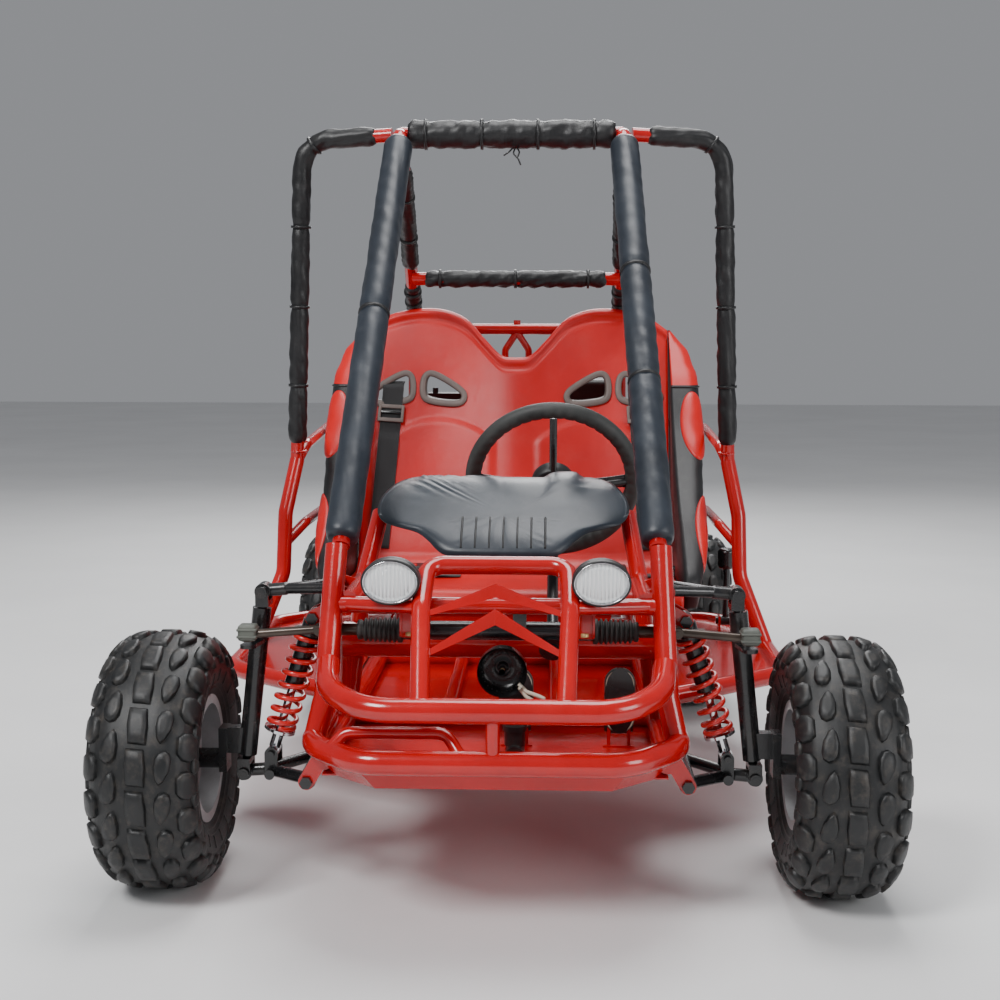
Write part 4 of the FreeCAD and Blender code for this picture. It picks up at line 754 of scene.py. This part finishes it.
def seat_shape(x, z):
    """How far the back's face is set in (+) or stands out (-) at a place."""
    hollow = 0.0065 * math.exp(-((abs(x) - 0.155) / 0.085) ** 2) * smoothstep(0.36, 0.46,
                                                                              z) * (1 - smoothstep(0.62,
                                                                                                   0.78, z))
    ridge = -0.0045 * math.exp(-(x / 0.045) ** 2) * smoothstep(0.40, 0.5, z)
    arch = 0.612 - 3.4 * (abs(x) - 0.150) ** 2
    inside = smoothstep(0.0, 0.012, arch - z) * smoothstep(0.035, 0.050,
                                                           abs(x)) * (1 - smoothstep(0.262, 0.276, abs(x)))
    return hollow + ridge - 0.0035 * inside


def seat_profile(x):
    """Side view of the moulding at one width: cushion, back, rolled top edge, rear face, underside."""
    top = smooth_between([(a * MM, b * MM) for a, b in SEAT_TOP], abs(x)) - 0.0005
    dish = 0.010 * math.exp(-((abs(x) - 0.155) / 0.10) ** 2)
    points = [(-0.049, 0.304), (-0.0515, 0.312), (-0.0515, 0.320), (-0.048, 0.329), (-0.041, 0.3345),
              (-0.030, 0.3365)]
    for k in range(1, 37):
        y = -0.030 + 0.240 * k / 36
        bowl = math.sin(math.pi * min(1.0, k / 36)) ** 1.5
        points.append((y, 0.3365 - 0.012 * k / 36 - dish * bowl))
    for turn in range(1, 6):
        a = turn / 6
        points.append((0.210 + 0.052 * a + 0.003 * math.sin(math.pi * a), 0.3245 + 0.022 * a * a))
    rise = top - 0.016 - 0.3465
    for k in range(1, 85):
        z = 0.3465 + rise * k / 84
        edge = smoothstep(top - 0.030, top - 0.012, z)
        rolled = seat_shape(x, z) * (1 - edge) - 0.0008 * edge + 0.004 * math.sin(math.pi * edge)
        points.append((back_front(z) + 0.0012 + rolled, z))
    yc, zc = back_front(top - 0.014) + 0.0125, top - 0.0135
    for k in range(1, 12):
        turn = math.pi * (1.06 - 1.12 * k / 12)
        points.append((yc + 0.0132 * math.cos(turn), zc + 0.0132 * math.sin(turn)))
    for k in range(1, 30):
        z = (top - 0.018) - (top - 0.018 - 0.335) * k / 29
        y = back_front(z) + 0.0265 + 0.6 * seat_shape(x, z)
        points.append((y, z))
    points += [(0.283, 0.318), (0.268, 0.300), (0.255, 0.2955), (0.12, 0.2955), (-0.018, 0.2955),
               (-0.040, 0.298)]
    return points


def slot_outline(side, turn, grow=0.0):
    """Front view of one harness slot, rounded, grown outward by a margin."""
    points = [Vector((side * BUCKET_X + turn * x * MM, 0, SLOT_Z + z * MM)) for x, z in SLOT_SHAPE]
    for _ in range(3):
        points = [p for a, b in zip(points, points[1:] + points[:1]) for p in (a.lerp(b, 0.25),
                                                                               a.lerp(b, 0.75))]
    if turn < 0:
        points.reverse()
    out = []
    for k, p in enumerate(points):
        t = (points[(k + 1) % len(points)] - points[k - 1]).normalized()
        out.append(p + Vector((-t.z, 0, t.x)) * grow)
    return out


def slot_rim(side, turn):
    """Rubber rim: a flat band round the slot and a liner through the seat."""
    rings = []
    for grow, depth in ((-0.001, 0.032), (-0.001, 0.004), (0.0, -0.0012), (0.002, -0.0026), (0.0095, -0.0026),
                        (0.0115, -0.0010), (0.0118, 0.004)):
        rings.append([Vector((p.x, back_front(p.z) + seat_shape(p.x, p.z) * 0.5 + 0.0012 + depth, p.z))
                      for p in slot_outline(side, turn, grow)])
    count = len(rings[0])
    faces = []
    faces += band(len(rings) - 1, count)
    return add_piece("rim", [p for ring in rings for p in ring], faces, SLOT_TRIM)


def cut_by(obj, tools):
    tool = join("cutter", tools)
    cut = obj.modifiers.new("cut", "BOOLEAN")
    cut.operation, cut.object, cut.solver = "DIFFERENCE", tool, "EXACT"
    apply_modifiers(obj)
    bpy.data.objects.remove(tool)
    return obj


def prism_y(points, y0, y1, material):
    count = len(points)
    verts = [Vector((p.x, y0, p.z)) for p in points] + [Vector((p.x, y1, p.z)) for p in points]
    faces = [tuple(range(count))[::-1], tuple(range(count, 2 * count))]
    faces += [(k, (k + 1) % count, count + (k + 1) % count, count + k) for k in range(count)]
    made = add_piece("prism", verts, faces, material, False)
    return face_outward(made)


def seat():
    xs = [(-0.2985 + 0.597 * k / 110) for k in range(111)]
    verts, faces = [], []
    for x in xs:
        verts += [Vector((x, y, z)) for y, z in seat_profile(x)]
    rows = len(verts) // len(xs)
    for i in range(len(xs) - 1):
        for j in range(rows):
            a, b = i * rows + j, i * rows + (j + 1) % rows
            faces.append((a, a + rows, b + rows, b))
    faces.append(tuple(range(rows)))
    faces.append(tuple(range((len(xs) - 1) * rows, len(xs) * rows))[::-1])
    made = add_piece("seat_moulding", verts, faces, RED_PLASTIC)
    face_outward(made)
    cut_by(made, [prism_y(slot_outline(s, t), 0.2, 0.6, RED_PLASTIC) for s in (1, -1) for t in (1, -1)])
    made.data.polygons.foreach_set("use_smooth", [len(p.vertices) < 30 for p in made.data.polygons])
    whole = join("seat_bench", [made] + [slot_rim(s, t) for s in (1, -1) for t in (1, -1)])
    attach(whole, "chassis")
    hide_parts("seat_shell")


seat()

WING_FRONT = [(0.300, -0.030), (0.350, -0.040), (0.400, 0.020), (0.470, 0.130), (0.585, 0.250),
              (0.690, 0.330),
              (0.782, 0.412)]
WING_REAR = [(0.300, 0.254), (0.330, 0.300), (0.782, 0.437)]
WING_OUT = [(0.280, 0.301), (0.300, 0.326), (0.420, 0.346), (0.560, 0.357), (0.690, 0.355), (0.742, 0.338),
            (0.782, 0.303)]


def straight(table, x):
    for (x0, v0), (x1, v1) in zip(table, table[1:]):
        if x <= x1:
            return v0 + (v1 - v0) * max(0.0, (x - x0) / (x1 - x0))
    return table[-1][1]


def wing_point(z, w):
    """Skin of the left wing at a height; w runs from 0 on the inner front round the outside to 1 at the rear."""
    y0, y1 = smooth_between(WING_FRONT, z) + 0.002, straight(WING_REAR, z) - 0.002
    x0, x1 = 0.3005, straight(WING_OUT, z) - 0.0005
    r = min(0.022, (x1 - x0) * 0.8, (y1 - y0) * 0.45)
    runs = [x1 - x0 - r, math.pi / 2 * r, y1 - y0 - 2 * r, math.pi / 2 * r, x1 - x0 - r]
    left = w * sum(runs)
    if left <= runs[0]:
        return Vector((x0 + left, y0, z))
    left -= runs[0]
    if left <= runs[1]:
        a = left / r
        return Vector((x1 - r + r * math.sin(a), y0 + r - r * math.cos(a), z))
    left -= runs[1]
    if left <= runs[2]:
        return Vector((x1, y0 + r + left, z))
    left -= runs[2]
    if left <= runs[3]:
        a = left / r
        return Vector((x1 - r + r * math.cos(a), y1 - r + r * math.sin(a), z))
    return Vector((x1 - r - (left - runs[3]), y1, z))


def patch(s, z0, rz, w0, rw, material, name):
    """A puffed oval panel lying on a wing."""
    verts, faces, around = [], [], 40
    for ring, lift in ((1.0, -0.001), (0.985, 0.0012), (0.94, 0.0026), (0.8, 0.0038), (0.55, 0.0048),
                       (0.28, 0.0052)):
        for k in range(around):
            a = 2 * math.pi * k / around
            z, w = z0 + rz * ring * math.sin(a), w0 + rw * ring * math.cos(a)
            p = wing_point(z, w)
            n = (wing_point(z, w + 0.01) - wing_point(z, w - 0.01)).cross(wing_point(z + 0.004,
                                                                                     w) - wing_point(z - 0.004, w))
            n = n.normalized()
            if n.x < 0 and n.y > -0.5:
                n = -n
            p = p + n * lift
            verts.append(Vector((p.x * s, p.y, p.z)))
    faces += band(5, around)
    faces.append(tuple(range(5 * around, 6 * around)))
    return add_piece(name, verts, faces, material)


def wings():
    for s, side in SIDES:
        zs = [0.3005 + 0.480 * k / 96 for k in range(97)]
        verts, faces, mats, across = [], [], [], 40
        for z in zs:
            ripple = 0.0009 * math.sin(z * 130) + 0.0006 * math.sin(z * 57 + 1)
            for j in range(across + 1):
                p = wing_point(z, j / across)
                verts.append(Vector(((p.x - abs(ripple) * (p.x > 0.31)) * s, p.y, z)))
        row = across + 1
        for k in range(len(zs) - 1):
            for j in range(across):
                a = k * row + j
                faces.append((a, a + 1, a + 1 + row, a + row))
                mats.append(1 if zs[k] > 0.672 else 0)
            faces.append((k * row + across, k * row, (k + 1) * row, (k + 1) * row + across))
            mats.append(0)
        faces.append(tuple(range(row)))
        faces.append(tuple(range((len(zs) - 1) * row, len(zs) * row))[::-1])
        mats += [0, 1]
        body = add_piece("wing", verts, faces, [BLACK_PLASTIC, RED_PLASTIC])
        body.data.polygons.foreach_set("material_index", mats)
        seam = sweep("piping",
                     [Vector((p.x * s, p.y, p.z)) for p in (wing_point(0.672, j / 60) for j in range(61))],
                     0.0022, BLACK_PLASTIC, 10)
        parts = [body, seam, patch(s, 0.602, 0.062, 0.22, 0.15, RED_PLASTIC, "patch"),
                 patch(s, 0.418, 0.062, 0.20, 0.12, RED_PLASTIC, "patch")]
        made = join("seat_wing_" + side, parts)
        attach(made, "chassis")
        if s > 0:
            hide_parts("seat_bolsters")


wings()


# --- harness --------------------------------------------------------------------------------------------------
def strap(name, path, width, thick, normal):
    """Flat webbing along a path, with rounded edges and a slight wave."""
    verts, faces = [], []
    outline = [(-1, 0.0), (-0.96, 0.8), (-0.5, 1.0), (0.0, 0.86), (0.5, 1.0), (0.96, 0.8), (1, 0.0),
               (0.96, -0.2),
               (0, -0.2), (-0.96, -0.2)]
    for k, p in enumerate(path):
        t = (path[min(k + 1, len(path) - 1)] - path[max(k - 1, 0)]).normalized()
        n = (Vector(normal) - t * t.dot(Vector(normal))).normalized()
        across = t.cross(n)
        sway = 0.0012 * math.sin(k * 0.55)
        for u, v in outline:
            verts.append(p + across * (u * width / 2) + n * (v * thick + sway * u + 0.0009))
    size = len(outline)
    faces += band(len(path) - 1, size)
    faces.append(tuple(range(size))[::-1])
    faces.append(tuple(range((len(path) - 1) * size, len(path) * size)))
    return add_piece(name, verts, faces, WEB)


def adjuster(centre, across, up, out, material):
    """A ladder buckle: a rim, two bars and a raised grip."""
    parts = []
    for u, v, w, h, m, lift in ((0, 0.014, 0.050, 0.008, material, 0.0045),
                                (0, -0.014, 0.050, 0.008, material, 0.0045),
                                (-0.0225, 0, 0.006, 0.034, material, 0.0045), (0.0225, 0, 0.006, 0.034,
                                                                               material, 0.0045),
                                (0, 0.002, 0.040, 0.006, BLACK_METAL, 0.0055)):
        made = hull_box("bar", -w / 2, w / 2, -h / 2, h / 2, -0.0022, 0.0022, m, 0.0012)
        turn = Matrix.Identity(4)
        for col, axis in enumerate((across, up, out)):
            for row in range(3):
                turn[row][col] = axis[row]
        spot = centre + across * u + up * v + out * lift
        made.matrix_world = Matrix.Translation(spot) @ turn
        parts.append(made)
    return parts


def harness():
    parts = []
    for s, _ in SIDES:
        path = []
        for k in range(46):
            t = k / 45
            z = 0.663 - 0.300 * t
            x = (0.240 + 0.020 * t) * s
            path.append(Vector((x, back_front(z) + seat_shape(x, z) - 0.0006, z)))
        out = Vector((0, -0.952, 0.305))
        head = [Vector((0.240 * s, back_front(0.668) + 0.028, 0.676)),
                Vector((0.240 * s, back_front(0.668) + 0.012, 0.674)),
                Vector((0.240 * s, back_front(0.666) + 0.001, 0.669))]
        parts.append(strap("shoulder", head + path, 0.041, 0.0022, out))
        down = (path[14] - path[10]).normalized()
        parts += adjuster(path[7], down.cross(out).normalized(), -down, out, SLOT_TRIM)
        lap = []
        for k in range(33):
            x = (0.286 - 0.190 * k / 32) * s
            dish = 0.010 * math.exp(-((abs(x) - 0.155) / 0.10) ** 2)
            lap.append(Vector((x, 0.180, 0.3275 - dish * 0.42)))
        parts.append(strap("lap", lap, 0.041, 0.0022, (0, 0.049, 1.0)))
        parts.append(hull_box("buckle", 0.188 * s - 0.024, 0.188 * s + 0.024, 0.156, 0.204, 0.3285, 0.3450,
                              BLACK_PLASTIC,
                              0.004))
        parts.append(hull_box("button", 0.188 * s - 0.011, 0.188 * s + 0.011, 0.160, 0.176, 0.3435, 0.3475,
                              RED_PLASTIC,
                              0.0015))
    made = join("harness", parts)
    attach(made, "chassis")
    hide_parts("seat_belts")


harness()


# --- cowl -----------------------------------------------------------------------------------------------------
COWL_EDGE = [(0.000, 0.5580), (0.060, 0.5575), (0.110, 0.5570), (0.140, 0.5550), (0.166, 0.5475),
             (0.182, 0.5340),
             (0.1870, 0.5200), (0.1830, 0.5080), (0.170, 0.4995), (0.146, 0.4945), (0.122, 0.4895), (0.105,
                                                                                                     0.4800),
             (0.094, 0.4705), (0.083, 0.4635), (0.066, 0.4605), (0.030, 0.4600), (0.000, 0.4600)]
COWL_DEPTH = [(0.455, -0.4835), (0.487, -0.452), (0.518, -0.400), (0.548, -0.335), (0.562, -0.283),
              (0.568, -0.260)]


def cowl_edge():
    """Bean-shaped outline, front view, running round from the top."""
    right = []
    for k in range(len(COWL_EDGE) - 1):
        a, b = COWL_EDGE[k], COWL_EDGE[k + 1]
        before = COWL_EDGE[max(k - 1, 0)]
        after = COWL_EDGE[min(k + 2, len(COWL_EDGE) - 1)]
        for j in range(6):
            t = j / 6
            point = []
            for c in range(2):
                m0, m1 = (b[c] - before[c]) / 2, (after[c] - a[c]) / 2
                point.append((2 * t ** 3 - 3 * t * t + 1) * a[c] + (t ** 3 - 2 * t * t + t) * m0 +
                             (3 * t * t - 2 * t ** 3) * b[c] + (t ** 3 - t * t) * m1)
            right.append(tuple(point))
    right.append(COWL_EDGE[-1])
    return right + [(-x, z) for x, z in right[1:-1]][::-1]


def cowl_top(x, share):
    """Height of the skin over the outline: 0 at the rim, pleats and a low hump at the rear edge."""
    pleat = 0.0026 * (0.5 + 0.5 * math.cos(2 * math.pi * x / 0.0125)) if -0.128 < x < 0.0 else 0.0
    hump = 0.0085 * smoothstep(0.031, 0.016, abs(x - 0.091))
    return (pleat + hump) * smoothstep(0.520, 0.548, share)


def cowl():
    edge = cowl_edge()
    centre = (0.0, 0.512)
    verts, faces, around = [], [], len(edge)
    levels = [1.0, 0.994, 0.982, 0.962, 0.93, 0.88, 0.80, 0.70, 0.60, 0.50, 0.40, 0.30, 0.20, 0.10]
    for ring in levels:
        lift = 0.0070 * (1 - max(0.0, (ring - 0.86) / 0.14) ** 2.2) - 0.0055
        for x, z in edge:
            px, pz = centre[0] + (x - centre[0]) * ring, centre[1] + (z - centre[1]) * ring
            droop = 0.022 * (abs(px) / 0.185) ** 2
            y = smooth_between(COWL_DEPTH, min(0.568, pz + droop * 0.6)) - lift * 0.9
            up = lift * 0.5 + cowl_top(px, pz)
            for k in range(7):
                gx = -0.060 + 0.020 * k + 0.003
                trough = math.exp(-((px - gx) / 0.0030) ** 2) * smoothstep(0.468, 0.474,
                                                                           pz) * (1 - smoothstep(0.504,
                                                                                                 0.510, pz))
                y += 0.0016 * trough
            verts.append(Vector((px, y, min(pz + up, 0.5690))))
    faces += band(len(levels) - 1, around)
    hub = len(verts)
    verts.append(Vector((0, smooth_between(COWL_DEPTH, 0.512) - 0.0012, 0.512)))
    last = (len(levels) - 1) * around
    faces += [(last + k, last + (k + 1) % around, hub) for k in range(around)]
    base = len(verts)
    for inward, drop in ((0.004, 0.0045), (0.010, 0.010), (0.013, 0.017)):
        for x, z in edge:
            px, pz = x * (1 - inward / 0.16), 0.512 + (z - 0.512) * (1 - inward / 0.06)
            droop = 0.022 * (abs(px) / 0.185) ** 2
            verts.append(Vector((px,
                                 min(-0.256, smooth_between(COWL_DEPTH,
                                                            min(0.568, pz + droop * 0.6)) + drop), pz)))
    for k in range(around):
        faces.append((k, base + k, base + (k + 1) % around, (k + 1) % around))
        for ring in range(2):
            a, b = base + ring * around + k, base + ring * around + (k + 1) % around
            faces.append((a, a + around, b + around, b))
    skin = add_piece("skin", verts, faces, [COWL, SLOT_TRIM])
    face_outward(skin)
    parts = [skin]
    for k in range(7):
        gx = -0.060 + 0.020 * k + 0.003
        path = [Vector((gx, smooth_between(COWL_DEPTH, 0.470 + 0.038 * j / 10) - 0.0002,
                        0.470 + 0.038 * j / 10))
                for j in range(11)]
        parts.append(sweep("groove", path, 0.0016, BLACK_PLASTIC, 8))
    made = join("cowl", parts)
    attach(made, "chassis")
    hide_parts("dash")


cowl()


# --- lamps and horn -------------------------------------------------------------------------------------------
def oval(x, z, rx, rz, y, count=64):
    return [Vector((x + rx * math.cos(2 * math.pi * k / count), y,
                    z + rz * math.sin(2 * math.pi * k / count)))
            for k in range(count)]


def loft(name, rings, material, cap_first=False, cap_last=True):
    count = len(rings[0])
    faces = []
    faces += band(len(rings) - 1, count)
    if cap_first:
        faces.append(tuple(range(count))[::-1])
    if cap_last:
        faces.append(tuple(range((len(rings) - 1) * count, len(rings) * count)))
    made = add_piece(name, [p for ring in rings for p in ring], faces, material)
    return face_outward(made)


def lamps():
    for s, side in SIDES:
        x, z = 0.137 * s, 0.453
        shell = loft("shell", [oval(x, z, a, b, y) for a, b, y in (
            (0.0345, 0.0265, -0.6610), (0.0350, 0.0270, -0.6685), (0.0362, 0.0282, -0.6700), (0.0378,
                                                                                              0.0298, -0.6695),
            (0.0385, 0.0305, -0.6670), (0.0385, 0.0305, -0.6600), (0.0372, 0.0292, -0.6570), (0.0372,
                                                                                              0.0292, -0.6520),
            (0.0382, 0.0302, -0.6500), (0.0380, 0.0300, -0.6400), (0.0340, 0.0270, -0.6300), (0.0240,
                                                                                              0.0200, -0.6180),
            (0.0150, 0.0130, -0.6142))], BLACK_PLASTIC)
        bezel = loft("bezel", [oval(x, z, a, b, y) for a, b, y in (
            (0.0340, 0.0260, -0.6640), (0.0343, 0.0263, -0.6692), (0.0349, 0.0269, -0.6702), (0.0356,
                                                                                              0.0276, -0.6700),
            (0.0358, 0.0278, -0.6690))], CHROME, False, False)
        stalk = [sweep("stalk", [(x, -0.628, 0.432), (x, -0.620, 0.418)], 0.0065, BLACK_METAL, 16)]
        stalk.append(turned("clamp", [(0.0, -0.013), (0.0118, -0.013), (0.0120, -0.010), (0.0120, 0.010),
                                      (0.0118, 0.013), (0.0, 0.013)], (x, -0.620, 0.417), (1, 0,
                                                                                           0), BLACK_METAL, 32))
        body = join("lamp_shell_" + side, [shell, bezel] + stalk)
        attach(body, "chassis")
        if s > 0:
            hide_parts("headlamp_shells")
        rings = [oval(x, z, 0.0344 * r, 0.0264 * r, y) for r, y in (
            (0.97, -0.6605), (1.0, -0.6630), (0.985, -0.6655), (0.94, -0.6668), (0.90, -0.6672), (0.87,
                                                                                                  -0.6664),
            (0.80, -0.6674), (0.6, -0.6677), (0.4, -0.6679), (0.2, -0.6680), (0.02, -0.6680))]
        glass = [loft("glass", rings, LENS)]
        for k in range(-5, 6):
            w = 0.0264 * 0.78 * math.sqrt(max(0.0, 1 - (k / 6.4) ** 2))
            if k % 2:
                w *= 0.96
            glass.append(sweep("flute",
                               [(x + k * 0.0047, -0.66745, z - w), (x + k * 0.0047, -0.66745, z + w)], 0.0007,
                               LENS, 8))
        glass.append(turned("bulb",
                            [(0.0, -0.0025), (0.006, -0.0023), (0.0090, -0.0008), (0.0092, 0.0004),
                             (0.0, 0.001)],
                            (x, -0.6668, z), (0, 1, 0), CHROME, 40))
        for k in range(3):
            glass.append(turned("ring",
                                [(0.0125 + 0.005 * k, 0.0), (0.0130 + 0.005 * k, -0.0008),
                                 (0.0136 + 0.005 * k, 0.0)],
                                (x, -0.66715, z), (0, 1, 0), LENS, 48))
        front = join("lamp_lens_" + side, glass)
        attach(front, "chassis")
        if s > 0:
            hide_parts("headlamp_lenses")


def horn():
    centre = (0.008, -0.650, 0.331)
    parts = [turned("cup",
                    [(0.0, 0.033), (0.020, 0.033), (0.030, 0.030), (0.0345, 0.022), (0.0350, 0.010),
                     (0.0338, 0.0085),
                            (0.0350, 0.0070), (0.0350, 0.0015), (0.0335, 0.0), (0.0300, 0.0), (0.0285,
                                                                                               0.0030),
                            (0.0230, 0.0045), (0.0215, 0.0010), (0.0195, -0.0010), (0.0180, 0.0)],
                    centre, (0, 1, 0), BLACK_METAL, 72),
             turned("ring", [(0.0185, 0.0006), (0.0172, -0.0018), (0.0152, -0.0020), (0.0142, 0.0002),
                             (0.0142, 0.0030)],
                    centre, (0, 1, 0), GOLD, 64),
             turned("cone", [(0.0142, 0.0025), (0.0125, -0.0010), (0.0100, -0.0026), (0.0088, -0.0020),
                             (0.0080, -0.0036),
                             (0.0, -0.0040)], centre, (0, 1, 0), BLACK_PLASTIC, 56),
             turned("eye", [(0.0070, -0.0035), (0.0060, -0.0038), (0.0040, -0.0040), (0.0, -0.0040)],
                    centre, (0, 1, 0),
                    CHROME, 40)]
    for k in range(24):
        angle = 2 * math.pi * k / 24
        spot = Vector(centre) + Vector((math.cos(angle) * 0.0262, 0.0036, math.sin(angle) * 0.0262))
        parts.append(turned("vent", [(0.0014, 0.0012), (0.0012, -0.0006), (0.0, -0.0010)], spot, (0, 1, 0),
                            BLACK_PLASTIC, 10))
    for rise in (0.0, -0.011):
        path = bent([Vector((0.030, -0.641, 0.314 + rise * 0.4)),
                     Vector((0.040, -0.6465, 0.305 + rise * 0.6)),
                     Vector((0.056, -0.6465, 0.2995 + rise)), Vector((0.064, -0.644,
                                                                      0.2950 + rise))], 0.006, 0.002)
        parts.append(sweep("prong", path, 0.0026, CREAM, 12))
    made = join("horn_unit", parts)
    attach(made, "chassis")
    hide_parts("horn")


lamps()
horn()


# --- steering wheel -------------------------------------------------------------------------------------------
def steering_wheel():
    axis = Vector((0, -math.cos(math.radians(25.9)), -math.sin(math.radians(25.9))))
    side = Vector((1, 0, 0))
    up = side.cross(axis).normalized() * -1
    if up.z < 0:
        up = -up
    centre = Vector((0.074, -0.200, 0.541))
    verts, faces, around, rim = [], [], 220, 28
    for k in range(around):
        turn = 2 * math.pi * k / around
        out = side * math.cos(turn) + up * math.sin(turn)
        for j in range(rim):
            a = 2 * math.pi * j / rim
            dent = 0.0013 * max(0.0, math.cos(turn * 44)) ** 2 if math.cos(a) < 0.2 else 0.0
            seam = 0.0008 * math.exp(-((a - math.pi) / 0.12) ** 2)
            r = 0.0128 - dent - seam
            verts.append(centre + out * (0.127 + r * math.cos(a)) + axis * (r * math.sin(a)))
    for k in range(around):
        for j in range(rim):
            a, b = k * rim + j, k * rim + (j + 1) % rim
            c = (k + 1) % around * rim
            faces.append((a, b, c + (j + 1) % rim, c + j))
    parts = [add_piece("rim", verts, faces, RUBBER)]
    for degrees in (0, 180, 270):
        turn = math.radians(degrees)
        out = side * math.cos(turn) + up * math.sin(turn)
        across = out.cross(axis)
        rings = []
        for t in range(13):
            share = t / 12
            spot = centre + out * (0.020 + 0.098 * share) + axis * (0.016 * (1 - share) ** 1.2)
            wide = 0.0125 - 0.0035 * math.sin(math.pi * share)
            rings.append([spot + across * (wide * math.cos(2 * math.pi * q / 20)) +
                          axis * (0.0038 * math.sin(2 * math.pi * q / 20)) for q in range(20)])
        parts.append(loft("spoke", rings, BLACK_METAL, True, True))
        for reach in (0.050, 0.072):
            share = (reach - 0.020) / 0.098
            spot = centre + out * reach + axis * (0.016 * (1 - share) ** 1.2 - 0.0036)
            parts.append(turned("dimple",
                                [(0.0050, 0.001), (0.0048, -0.0006), (0.0036, -0.0008), (0.0030, 0.0004),
                                 (0.0, 0.0006)],
                                spot, axis, BLACK_PLASTIC, 24))
    parts.append(turned("hub",
                        [(0.0, 0.008), (0.020, 0.0082), (0.0250, 0.011), (0.0260, 0.015), (0.0260, 0.030),
                                (0.0240, 0.034), (0.0, 0.034)], centre, axis, BLACK_PLASTIC, 56))
    for k in range(6):
        turn = math.pi / 3 * k
        spot = centre + (side * math.cos(turn) + up * math.sin(turn)) * 0.017 + axis * 0.0088
        parts.append(turned("screw",
                            [(0.0, -0.0008), (0.0022, -0.0008), (0.0026, 0.0002),
                             (0.0026, 0.0012)], spot, axis,
                            STEEL, 16))
    made = join("steering_ring", parts)
    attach(made, "steering")
    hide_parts("steering_wheel")


steering_wheel()


# --- pedals, front details ------------------------------------------------------------------------------------
def pedal_pad(x, half, body, node_name):
    """Ribbed oval pad with a pale rim."""
    z, reach = 0.273, 0.0455
    outline = []
    straight_part = reach - half
    for k in range(64):
        a = 2 * math.pi * k / 64
        outline.append((half * math.cos(a),
                        half * math.sin(a) + (straight_part if math.sin(a) >= 0 else -straight_part)))
    rings = []
    for share, y in ((1.0, -0.5534), (1.0, -0.5590), (0.985, -0.5612), (0.93, -0.5618), (0.88, -0.5612),
                     (0.86, -0.5598),
                     (0.80, -0.5596), (0.40, -0.5596), (0.02, -0.5596)):
        rings.append([Vector((x + u * share, y, z + w * (1 - (1 - share) * half / reach))) for u,
                      w in outline])
    parts = [loft("pad", rings, RUBBER, True, True)]
    rim = [Vector((x + u * 0.905, -0.5604, z + w * 0.952)) for u, w in outline]
    parts.append(sweep("rim", rim + rim[:1], 0.0014, CREAM, 10, False))
    for k in range(-5, 6):
        level = k * 0.0062
        width = half * 0.62 * (1 if abs(level) < straight_part else 0.7)
        parts.append(hull_box("rib", x - width, x + width, -0.5612, -0.5590, z + level - 0.0014,
                              z + level + 0.0014,
                              BLACK_PLASTIC, 0.0006))
    made = join(node_name + "_pad", parts)
    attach(made, body)


pedal_pad(0.025, 0.0235, "brake_pedal", "brake")
pedal_pad(0.167, 0.0210, "throttle_pedal", "throttle")


def front_details():
    parts = []
    for s, _ in SIDES:
        x = 0.117 * s
        parts.append(hull_box("bracket", x - 0.013, x + 0.013, -0.614, -0.608, 0.369, 0.404, RED, 0.002))
        for edge in (-0.0115, 0.0115):
            parts.append(hull_box("cheek", x + edge - 0.0020, x + edge + 0.0020, -0.616, -0.600, 0.371,
                                  0.404, RED, 0.001))
        parts.append(turned("bolt",
                            [(0.0, -0.006), (0.0046, -0.006), (0.0052, -0.004), (0.0052, 0.003),
                             (0.0, 0.003)],
                            (x, -0.6115, 0.3720), (0, 0, 1), GOLD, 6))
        parts.append(turned("collar", [(0.0127, -0.010), (0.0147, -0.009), (0.0147, 0.009), (0.0127, 0.010)],
                            (0.2165 * s, -0.554, 0.466), (0.03 * s, -0.66, -0.75), BLACK_METAL, 40))
        for z in (0.448, 0.455):
            parts.append(turned("nut",
                                [(0.0, -0.004), (0.0070, -0.004), (0.0076, -0.003), (0.0076, 0.004),
                                 (0.0, 0.004)],
                                (0.2330 * s, -0.545, z), (1, 0, 0), BLACK_METAL, 6))
    made = join("front_details", parts)
    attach(made, "chassis")


front_details()


# --- rod boots, welds -----------------------------------------------------------------------------------------
def rod_boots():
    for s, side in SIDES:
        parts = [hull_box("boot", 0.340 * s - 0.0125, 0.340 * s + 0.0125, -0.5970, -0.5730, 0.3580, 0.3800,
                          BOOT, 0.004)]
        for z in (0.3640, 0.3735):
            parts.append(hull_box("fold", 0.340 * s - 0.0137, 0.340 * s + 0.0137, -0.5982, -0.5718,
                                  z - 0.0018, z + 0.0018,
                                  BOOT, 0.0014))
        made = join("rod_boot_" + side, parts)
        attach(made, "tie_rod_" + side)


def bead(centre, axis, radius, wire=0.0022):
    """A weld: a lumpy ring where one tube meets another."""
    axis = Vector(axis).normalized()
    side = axis.orthogonal().normalized()
    other = axis.cross(side)
    path = []
    for k in range(73):
        a = 2 * math.pi * k / 72
        lump = 0.0005 * math.sin(a * 22) + 0.0003 * math.sin(a * 9 + 1)
        path.append(Vector(centre) + (side * math.cos(a) + other * math.sin(a)) * (radius + lump))
    return sweep("bead", path, wire, RED, 8, False)


def welds():
    parts = []
    for s in (1, -1):
        parts += [bead((0.3815 * s, 0.0905, 0.563), (0.02 * s, 0.05, -1.0), 0.0127),
                  bead((0.198 * s, 0.486, 0.782), (1, 0, 0), 0.0100),
                  bead((0.197 * s, 0.490, 0.606), (1, 0, 0), 0.0100),
                  bead((0.197 * s, 0.490, 0.548), (1, 0, 0), 0.0100)]
    made = join("weld_beads", parts)
    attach(made, "chassis")


rod_boots()
welds()
